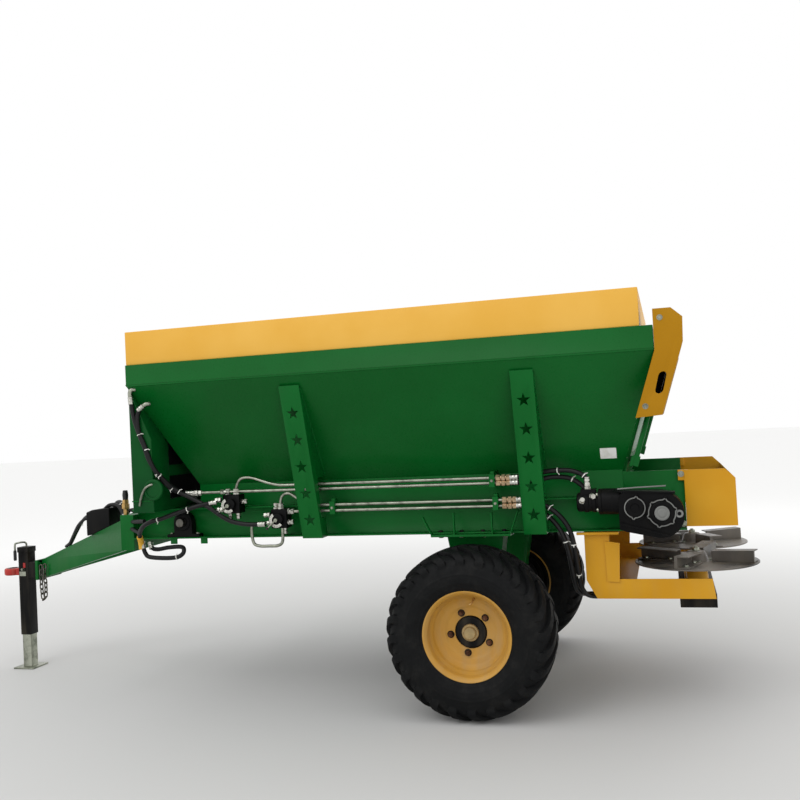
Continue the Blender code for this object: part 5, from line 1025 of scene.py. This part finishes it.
def eared_outline(x, z, radius, ears, ear, spread, a):
    """A circle whose radius swells by an ear's height at each ear's angle: its X and Z at angles a."""
    count, first_ear = ears
    apart = a[:, None] - first_ear - np.arange(count) * 2 * np.pi / count
    near = np.abs((apart + np.pi) % (2 * np.pi) - np.pi).min(axis=1)
    reach = radius + ear * np.exp(-(near / spread) ** 2)
    return x + reach * np.cos(a), z + reach * np.sin(a)


def eared_cover(x, z, radius, ears, thick):
    """A round cover with rounded ears."""
    outline = eared_outline(x, z, radius, ears, 0.015, 0.11, np.linspace(0, 2 * np.pi, 96, endpoint=False))
    return plate_shape(np.stack(outline, axis=1), face_y + 0.004 - thick, face_y + 0.004)


def highlight_band(x, z, radius, ears, out):
    """A grey band along an eared cover's edge: a painted highlight."""
    a = np.linspace(0, 2 * np.pi, 97)
    edge_x, edge_z = eared_outline(x, z, radius, ears, 0.010, 0.10, a)
    return swept(np.stack([edge_x, np.full(97, face_y - out), edge_z], axis=1), 0.0028, 8)


def cap(x, z, steps, *profile):
    """A turned cap on the gearbox's face, from (radius, distance out) pairs."""
    return turned_shape(profile, (x, face_y, z), OUTWARD, steps)


black_piece("gearbox_covers", [eared_cover(out_x, out_z, 0.064, BIG_EARS, 0.020),
                               eared_cover(input_x, input_z, 0.050, SMALL_EARS, 0.016)], CAST, soft=0.0025)
# Grey bands on the covers' edges and along the top ledge: painted highlights.
ledge_y = face_y + 0.002
ledge = np.array([(input_x - 0.075, ledge_y, input_z + 0.089), (input_x + 0.010, ledge_y, input_z + 0.094),
                  (REAR_SHAFT_X + 0.030, ledge_y, input_z + 0.098)])
black_piece("gearbox_painted_highlights", [highlight_band(out_x, out_z, 0.060, BIG_EARS, 0.016),
                                   highlight_band(input_x, input_z, 0.046, SMALL_EARS, 0.012),
                                   swept(ledge, 0.0035, 8)], GREY_HIGHLIGHT_AND_CAP, angle=50.0)
caps = [cap(out_x, out_z, 56, (0, 0.015), (0.052, 0.015), (0.052, 0.020), (0.047, 0.024), (0.038, 0.024),
            (0.036, 0.019), (0.036, 0.019), (0, 0.019)),
        cap(input_x, input_z, 48, (0, 0.011), (0.040, 0.011), (0.040, 0.016), (0.036, 0.019), (0.022, 0.019),
            (0.018, 0.015), (0, 0.015)),
        cap(PLUG_X, PLUG_Z, 32, (0, -0.002), (0.020, -0.002), (0.020, 0.007), (0.017, 0.009), (0, 0.009))]
black_piece("gearbox_caps", caps, CAST, angle=28.0)
shaft_cap = [cap(out_x, out_z, 48, (0, 0.018), (0.034, 0.018), (0.034, 0.023), (0.029, 0.026), (0.022, 0.024),
                 (0.015, 0.028), (0, 0.028)),
             cap(PLUG_X, PLUG_Z, 32, (0.009, 0.008), (0.018, 0.008), (0.018, 0.012), (0.009, 0.012), (0.009, 0.008))]
metal_piece("gearbox_shaft_cap", shaft_cap, GREY_HIGHLIGHT_AND_CAP, angle=28.0)
ear_bolts = [(x + radius * math.cos(t), face_y - out, z + radius * math.sin(t))
             for x, z, radius, out, (count, first_ear) in ((out_x, out_z, 0.073, 0.0165, BIG_EARS),
                                                           (input_x, input_z, 0.059, 0.0125, SMALL_EARS))
             for t in first_ear + np.arange(count) * 2 * math.pi / count]
bolts("gearbox_bolts", hex_nut(0.008, 0.004, 1.1), ear_bolts, OUTWARD, CAST, both=False)
bolts("gearbox_plug", hex_nut(0.014, 0.007, 1.3), [(PLUG_X, face_y - 0.009, PLUG_Z)], OUTWARD, CAST, both=False)
ribs = [plate_shape([(x0, z0 - 0.005), (x1, z1 - 0.005), (x1, z1 + 0.005), (x0, z0 + 0.005)],
                    face_y - 0.006, face_y + 0.06)
        for x0, z0, x1, z1 in ((input_x - 0.070, input_z + 0.078, REAR_SHAFT_X + 0.070, SHAFT_Z + 0.100),
                               (input_x - 0.066, input_z - 0.074, REAR_SHAFT_X + 0.040, SHAFT_Z - 0.100))]
black_piece("gearbox_ribs", ribs, CAST, soft=0.002)

# %% Motor
motor_low, motor_high = low_high("floor_motor")
motor_z = SHAFT_Z + 0.062
length = motor_high[0] - motor_low[0]
MOTOR = [(0, 0), (0.036, 0), (0.043, 0.004), (0.046, 0.010), (0.046, 0.034), (0.050, 0.036), (0.050, 0.056),
         (0.046, 0.058), (0.046, 0.072), (0.050, 0.074), (0.050, 0.090), (0.045, 0.092), (0.045, length - 0.017),
         (0.060, length - 0.016), (0.0615, length - 0.013), (0.0615, length - 0.001), (0, length - 0.001)]
case = turned_shape(MOTOR, (motor_low[0], motor_y, motor_z), (1, 0, 0), 56)
ports = box_shape((motor_low[0] + 0.020, motor_y - 0.032, motor_z),
                  (motor_low[0] + 0.092, motor_y + 0.032, motor_top))
black_piece("motor_body", [case, ports], CAST, stands_for=("floor_motor",), soft=0.0012)
motor_unions = [union(place, way, sizes) for place, way, sizes in (
    ((port_x, motor_y, motor_top - 0.002), (0, 0, 1), [(6, 0.0165, 0.014), (6, 0.0150, 0.016)]),
    ((port_x + 0.020, motor_y - 0.030, motor_z + 0.030), (0.4, -1, 0), [(6, 0.0155, 0.014), (6, 0.014, 0.014)]),
    ((1.640, -0.722, 1.036), (-0.7, 0.1, -0.5), [(6, 0.0165, 0.016), (20, 0.012, 0.01), (6, 0.0150, 0.018)]),
    ((port_x - 0.026, motor_y - 0.034, motor_z + 0.004), (0.2, -1, 0.5), [(6, 0.0165, 0.016), (20, 0.012, 0.014)]))]
metal_piece("motor_unions", motor_unions, SILVER, angle=25.0)
adaptor = union((motor_high[0] + 0.002, motor_y, motor_z), (1, 0, 0),
                [(36, 0.058, 0.012), (36, 0.052, 0.030), (36, 0.062, 0.012)])
black_piece("motor_adaptor", [adaptor], CAST, angle=25.0)
flange_bolts = [(motor_high[0] - 0.017, motor_y + 0.051 * math.cos(t), motor_z + 0.051 * math.sin(t))
                for t in np.radians(np.arange(4) * 90 + 45.0)]
bolts("motor_flange_bolts", hex_nut(0.013, 0.008, 1.2), flange_bolts, (-1, 0, 0), ZINC, both=False)

# %% [markdown]
# ## Spinner discs
#
# Each disc is a thick plate on a hub, with four throwing vanes bolted to it. A vane is a channel: a
# web with a lip at its foot and a lip at its top.

# %% Discs and vanes
DISC_X, DISC_Z, DISC_Y = AXLE_X + 1.085, RAIL_Z - 0.190, 0.36
DISC_PROFILE = [(0.0206, -0.028), (0.048, -0.028), (0.048, -0.008), (0.296, -0.008), (0.300, -0.0065),
                (0.300, -0.0015), (0.298, 0.0), (0.064, 0.0), (0.060, 0.003), (0.047, 0.040), (0.041, 0.046),
                (0.030, 0.049), (0.0, 0.0495), (0.0, -0.0165), (0.0206, -0.017), (0.0206, -0.028)]
VANE = [(-0.012, 0.0), (0.060, 0.0), (0.060, 0.006), (0.004, 0.006), (0.004, 0.054), (0.060, 0.054), (0.060, 0.060),
        (-0.012, 0.060)]


def vane(turn, y):
    """The channel's outline carried from 80 mm to 286 mm out, then turned round the disc's centre."""
    outline = np.asarray(VANE)
    reach = np.array([0.080, 0.286])
    rise = np.array([0.86, 1.0])
    points = np.stack([np.stack([np.full(len(outline), r), outline[:, 0], outline[:, 1] * k], axis=1)
                       for r, k in zip(reach, rise)])
    c, s = math.cos(turn), math.sin(turn)
    points = points.reshape(-1, 3) @ np.array([[c, s, 0], [-s, c, 0], [0, 0, 1.0]]) + (DISC_X, y, DISC_Z)
    count = len(outline)
    return points, grid_faces(2, count) + [list(range(count))[::-1], list(range(count, 2 * count))]


UPRIGHT = (0, 0, 1)
# Discs and vanes take the lightened disc paint, which is partly a painted reflection.
for name, side in SIDES:
    y, body = side * DISC_Y, "spinner_" + name
    piece("disc_" + name, turned_shape(DISC_PROFILE, (DISC_X, y, DISC_Z), UPRIGHT, 96), DISC_PAINT_AND_REFLECTION, body,
          "black_paint", ("spinner_" + name,), angle=30.0)
    turns = [i * math.pi / 2 + side * math.radians(20) for i in range(4)]
    piece("vanes_" + name, together(*(vane(t, y) for t in turns)), DISC_PAINT_AND_REFLECTION, body, "black_paint", soft=0.0015)
    feet = [(DISC_X + r * math.cos(t) - 0.032 * math.sin(t), y + r * math.sin(t) + 0.032 * math.cos(t),
             DISC_Z + 0.0062) for t in turns for r in (0.120, 0.245)]
    piece("vane_bolts_" + name, copies(M12, feet, [UPRIGHT] * len(feet)), ZINC, body, "steel")
    top = [(DISC_X, y, DISC_Z + 0.0495)]
    piece("disc_nut_" + name, copies(stud_nut(0.030, 0.016, 0.006), top, [UPRIGHT]), ZINC, body, "steel")
    screws = [(DISC_X + 0.066 * math.cos(t), y + 0.066 * math.sin(t), DISC_Z + 0.0002)
              for t in np.arange(4) * math.pi / 2 + 0.5 + 0.3 * side]
    piece("hub_screws_" + name, copies(M10, screws, [UPRIGHT] * 4), ZINC, body, "steel")

# %% [markdown]
# ## Drawbar, towing eye, chain and jack
#
# The red tongue ends in an eye with a rounded edge. The safety chain is real links: each is a
# racetrack ring of round bar, and every second one is turned a quarter about the chain's line.

# %% Towing eye
EYE_X, EYE_Z = low_high("towing_eye")[0][0] + 0.058, 0.605


def eye_shape():
    """A torus whose section is a rounded square, for the ring of the eye."""
    t = np.linspace(0, 2 * np.pi, 25)[:-1]
    half_wide, half_thick = 0.0155, 0.0225
    power = 0.55
    r = 0.0425 + half_wide * np.sign(np.cos(t)) * np.abs(np.cos(t)) ** power
    d = half_thick * np.sign(np.sin(t)) * np.abs(np.sin(t)) ** power
    loop_profile = np.stack([r, d], axis=1)
    return turned_shape(np.vstack([loop_profile, loop_profile[:1]]), (EYE_X, 0, EYE_Z), (0, 0, 1), 64)


nose_x = low_high("drawbar")[0][0]
shank = box_shape((EYE_X + 0.040, -0.035, EYE_Z - 0.0215), (nose_x - 0.018, 0.035, EYE_Z + 0.0215))
foot = box_shape((nose_x - 0.022, -0.060, EYE_Z - 0.032), (nose_x - 0.0004, 0.060, EYE_Z + 0.080))
piece("eye_and_tongue", together(eye_shape(), shank, foot), RED, slot="red_paint", stands_for=("towing_eye",),
      soft=0.003)
bolts("eye_foot_bolts", M16, [(nose_x - 0.022, -0.045, EYE_Z + 0.058), (nose_x - 0.022, 0.045, EYE_Z + 0.058)],
      (-1, 0, 0), both=False)
wear = turned_shape([(0.0262, -0.0228), (0.040, -0.0232), (0.040, -0.0224), (0.0262, -0.0222), (0.0262, -0.0228)],
                    (EYE_X, 0, EYE_Z), (0, 0, -1), 48)
metal_piece("eye_wear_ring", [wear], STEEL, angle=50.0)

# %% Chain links
LINK_LONG, LINK_WIDE, LINK_BAR = 0.019, 0.0105, 0.0042


def link(centre, along, quarter):
    """Racetrack path: straight sides LINK_LONG apart at the ends, half circles of LINK_WIDE, swept round."""
    u, v, n = frame_of(along)
    side = u if quarter else v
    a = np.linspace(0, 2 * np.pi, 33)
    stretch = np.sign(np.cos(a)) * (LINK_LONG - LINK_WIDE) * np.clip(np.abs(np.cos(a)) * 6, 0, 1)
    path = centre + (LINK_WIDE * np.cos(a) + stretch)[:, None] * n + (LINK_WIDE * np.sin(a))[:, None] * side
    tangent = np.gradient(path[:-1], axis=0)
    tangent[0], tangent[-1] = path[1] - path[-2], path[0] - path[-3]
    tangent /= np.linalg.norm(tangent, axis=1)[:, None]
    across = np.cross(n, side)
    out = np.cross(tangent, across)
    b = np.arange(10) * 2 * np.pi / 10
    ring_points = (path[:-1, None] + LINK_BAR * (np.cos(b)[None, :, None] * across
                                                + np.sin(b)[None, :, None] * out[:, None]))
    return ring_points.reshape(-1, 3), grid_faces(32, 10, wrap_rows=True)


jack_x, jack_y = AXLE_X - 3.110, -0.105
chain_x, chain_y, chain_top = nose_x + 0.0326, jack_y - 0.023, 0.663
chain_end_y = -0.1595
hang = smooth_path([(chain_x, chain_y, chain_top), (chain_x, chain_y, chain_top - 0.070),
                    (chain_x + 0.001, chain_y, chain_top - 0.140), (chain_x + 0.006, chain_y, chain_top - 0.195),
                    (chain_x + 0.018, chain_y - 0.004, chain_top - 0.218),
                    (chain_x + 0.036, chain_y - 0.008, chain_top - 0.195),
                    (chain_x + 0.046, (chain_y + chain_end_y) / 2, chain_top - 0.130),
                    (chain_x + 0.052, chain_end_y, chain_top - 0.060),
                    (chain_x + 0.056, chain_end_y, chain_top + 0.010)], 30)
arc = np.concatenate([[0], np.cumsum(np.linalg.norm(np.diff(hang, axis=0), axis=1))])
count = int(arc[-1] / 0.0300)
at = (np.arange(count) + 0.5) * arc[-1] / count
centres = np.stack([np.interp(at, arc, hang[:, k]) for k in range(3)], axis=1)
ahead = np.stack([np.interp(at + 0.004, arc, hang[:, k]) for k in range(3)], axis=1)
back = np.stack([np.interp(at - 0.004, arc, hang[:, k]) for k in range(3)], axis=1)
links = [link(c, f - b, i % 2 == 0) for i, (c, f, b) in enumerate(zip(centres, ahead, back))]
metal_piece("chain_links", links, STEEL, stands_for=("safety_chain",), angle=60.0)
print("chain links", count)

# %% Jack head, collar, pin and crank
jack_top = low_high("jack_tube")[1][2]
crank = smooth_path([(jack_x - x, jack_y - y, jack_top + z) for x, y, z in (
    (0, 0, -0.004), (0, 0, 0.018), (0.012, 0.010, 0.030), (0.020, 0.070, 0.030), (0.022, 0.082, 0.020),
    (0.022, 0.084, -0.030))], 8)
metal_piece("jack_crank", [swept(crank, 0.006, 14)], ZINC, angle=50.0)
grip = turned_shape([(0, -0.01), (0.0085, -0.01), (0.0100, 0.0), (0.0100, 0.05), (0.008, 0.056), (0, 0.056)],
                    (jack_x - 0.022, jack_y - 0.084, jack_top - 0.024), (0, 0, -1), 24)
black_piece("jack_crank_grip", [grip], BLACK_PLASTIC, angle=40.0)
pin = turned_shape([(0, 0), (0.009, 0), (0.009, 0.108), (0.007, 0.111), (0, 0.111)],
                   (jack_x, jack_y + 0.056, 0.640), OUTWARD, 20)
metal_piece("jack_pin", [pin], ZINC, angle=40.0)
tube_face_y = jack_y - 0.0372
collar = box_shape((jack_x - 0.030, jack_y - 0.0415, 0.596), (jack_x + 0.020, tube_face_y, 0.626))
metal_piece("jack_collar", [collar], ZINC, soft=0.002)
tag = box_shape((jack_x, jack_y - 0.0402, 0.650), (jack_x + 0.018, tube_face_y, 0.682))
piece("jack_tag", tag, RED_PLASTIC, slot="red_paint", soft=0.002)

# %% [markdown]
# ## Small things on the body
#
# Guide plates beside the discs, a stop valve on the drawbar, a blank white label near the hopper's rear
# corner, a round cover on the front post with a small bent pipe, a strap across the front panel, tabs
# under the rail and a ring on the front roller's bearing.

# %% Guide plates, stop valve, label, cover disc, strap, tabs and bearing rings
SIDE_SPREAD = 0.295                            # how much wider the hopper is at the top, on each side


def hopper_half(z):
    """Half width of the hopper's outside at a height: straight from the rail's web to the top edge."""
    return 0.600 + (z - HOPPER_Z) / HOPPER_HEIGHT * SIDE_SPREAD


def on_side(x, z, out):
    """A point a distance out from the left side sheet, along the sheet's own normal."""
    slope = math.atan2(SIDE_SPREAD, HOPPER_HEIGHT)
    return (x, -hopper_half(z) - out * math.cos(slope), z - out * math.sin(slope))


deflector = [plate_shape([(1.648, 0.640), (1.706, 0.636), (1.716, 0.826), (1.642, 0.836)], -0.648, -0.6404),
             box_shape((1.513, -0.664, RAIL_Z - 0.016), (1.715, -0.6404, RAIL_Z - 0.004))]
piece("tray_deflectors", both_sides(deflector), YELLOW_PARTS, slot="yellow_paint", soft=0.001)
stop_valve = union((-1.040, -0.600, 1.010), UPRIGHT, [(20, 0.014, 0.045), (6, 0.022, 0.030), (6, 0.018, 0.024)])
metal_piece("stop_valve", [stop_valve], BRASS, angle=25.0)
stop_valve_cap = turned_shape([(0, 0), (0.015, 0), (0.017, 0.03), (0.013, 0.055), (0, 0.056)],
                              (-1.040, -0.600, 1.106), UPRIGHT, 24)
black_piece("stop_valve_cap", [stop_valve_cap], BLACK_PLASTIC, angle=35.0)
label = np.array([on_side(x, z, o) for o in (0.0002, 0.0008) for x, z in
                  ((1.648, 1.237), (1.726, 1.237), (1.726, 1.289), (1.648, 1.289))])
label_faces = [[3, 2, 1, 0], [4, 5, 6, 7], [0, 1, 5, 4], [1, 2, 6, 5], [2, 3, 7, 6], [3, 0, 4, 7]]
metal_piece("blank_label", [(label, label_faces)], VINYL)
cover = turned_shape([(0, 0), (0.056, 0), (0.056, 0.010), (0.051, 0.014), (0.042, 0.014), (0.040, 0.008), (0, 0.008)],
                     (-0.678, -0.885, 1.176), OUTWARD, 48)
# The post cover and the strap below take the post's darkened green, which is painted shade.
piece("post_cover", cover, GREEN_POST_SHADED)
panel_low, panel_high = low_high("front_panel")
strap = box_shape((panel_high[0] + 0.0003, panel_low[1], panel_low[2] + 0.125),
                  (panel_high[0] + 0.006, panel_high[1], panel_low[2] + 0.185))
piece("front_cross_strap", strap, GREEN_POST_SHADED, soft=0.001)
bend = smooth_path([(-0.765, -0.890, 1.093), (-0.748, -0.900, 1.140), (-0.722, -0.902, 1.185),
                    (-0.692, -0.898, 1.203), (-0.680, -0.884, 1.205)], 8)
metal_piece("post_small_pipe", [swept(bend, 0.0065, 12)], ZINC, angle=60.0)
tabs = [box_shape((x - 0.020, -0.650, RAIL_Z - 0.030), (x + 0.020, -0.642, RAIL_Z + 0.002))
        for x in (-0.711, -0.524)]
piece("rail_tabs", both_sides(tabs), GREEN_FRAME, soft=0.002)
BEARING_RING = [(0.023, 0), (0.046, 0), (0.046, 0.005), (0.040, 0.009), (0.031, 0.009), (0.029, 0.005),
                (0.023, 0.005), (0.023, 0)]
for name, side in SIDES:
    ring = turned_shape(BEARING_RING, (FRONT_SHAFT_X, side * 0.6562, SHAFT_Z), (0, side, 0), 48)
    black_piece("bearing_ring_" + name, [ring], CAST, angle=30.0)

# %% [markdown]
# ## Weld seams
#
# Seams are laid where plates meet: a thin bead whose radius ripples every few millimetres, the mark of
# the welder's pulse.

# %% Weld beads


def weld(start, end, radius=0.0032, pitch=0.009):
    """A straight bead: r(s) = radius * (1 + 0.16 sin(2 pi s / pitch))."""
    start, end = np.asarray(start, float), np.asarray(end, float)
    length = np.linalg.norm(end - start)
    steps = max(int(length / pitch * 5), 8)
    s = np.linspace(0, 1, steps)
    return swept(start + s[:, None] * (end - start), radius * (1 + 0.16 * np.sin(2 * np.pi * s * length / pitch)), 6)


seams = []
for place, lean in ((-0.779, -0.035), (0.388, -0.006)):
    ends = []
    for z in (HOPPER_Z + 0.03, HOPPER_TOP - 0.06):
        ends.append((AXLE_X + place + lean * (z - RAIL_Z) / (HOPPER_TOP - 0.05 - RAIL_Z), -hopper_half(z) - 0.001, z))
    seams += [weld(*[np.add(e, (edge, 0, 0)) for e in ends]) for edge in (-0.0045, 0.0045)]
seams += [weld((FRONT_TOP_X + 0.004, -0.885, RAIL_TOP + 0.064), (FRONT_TOP_X + 0.128, -0.885, RAIL_TOP + 0.064))]
seams += [weld((AXLE_X - 0.14, -0.58, RAIL_Z - 0.014), (AXLE_X + 0.14, -0.58, RAIL_Z - 0.014))]
piece("weld_seams", both_sides(seams), GREEN_FRAME, angle=60.0)
print("weld seams", len(seams) * 2)

# %% [markdown]
# ## Floor and light
#
# A plain pale floor and the even light of an overcast day: a bright sky all round, a large soft light
# high on the camera's side, and a weaker one behind to draw the edges.

# %% Floor
FLOOR_HALF = 60.0
floor_mesh = bpy.data.meshes.new("floor")
floor_mesh.from_pydata([(-FLOOR_HALF, -FLOOR_HALF, 0), (FLOOR_HALF, -FLOOR_HALF, 0), (FLOOR_HALF, FLOOR_HALF, 0),
                        (-FLOOR_HALF, FLOOR_HALF, 0)], [], [(0, 1, 2, 3)])
floor = bpy.data.objects.new("floor", floor_mesh)
bpy.context.scene.collection.objects.link(floor)
floor_material, floor_tree, floor_shader, floor_place = new_material(
    "pale_floor", **{"Roughness": 0.9, "Specular IOR Level": 0.1})
reach = add_node(floor_tree, "VectorMath", links={0: floor_place}, operation="LENGTH").outputs["Value"]
floor_tree.links.new(mixed(floor_tree, between(floor_tree, reach, 1.5, 9.0), "#C9C9C8", "#F7F7F6"),
                     floor_shader.inputs["Base Color"])
floor_mesh.materials.append(floor_material)

# %% World and lights
SKY = 1.0
world = bpy.data.worlds.new("overcast")
bpy.context.scene.world = world
world.use_nodes = True
world.node_tree.nodes.clear()
sky = add_node(world.node_tree, "Background", {"Color": linear("#FFFFFF"), "Strength": SKY})
add_node(world.node_tree, "OutputWorld", links={"Surface": sky.outputs[0]})


def area_light(name, place, target, size, power):
    """A square soft light at a place, turned so that it shines at a target."""
    data = bpy.data.lights.new(name, "AREA")
    data.size, data.energy = size, power
    light = bpy.data.objects.new(name, data)
    bpy.context.scene.collection.objects.link(light)
    u, v, n = frame_of(np.asarray(place, float) - np.asarray(target, float))
    turn = np.eye(4)
    turn[:3, 0], turn[:3, 1], turn[:3, 2], turn[:3, 3] = u, v, n, place
    light.matrix_world = Matrix(turn.tolist())
    return light


area_light("key", (-3.0, -6.0, 7.0), (0, 0, 1.0), 5.0, 150)
area_light("rim", (4.0, 6.0, 6.0), (0, 0, 1.0), 4.0, 60)
area_light("top", (0.0, 0.0, 8.0), (0, 0, 1.0), 6.0, 60)
bpy.context.scene.view_settings.view_transform = "Standard"
bpy.context.scene.view_settings.look = "None"
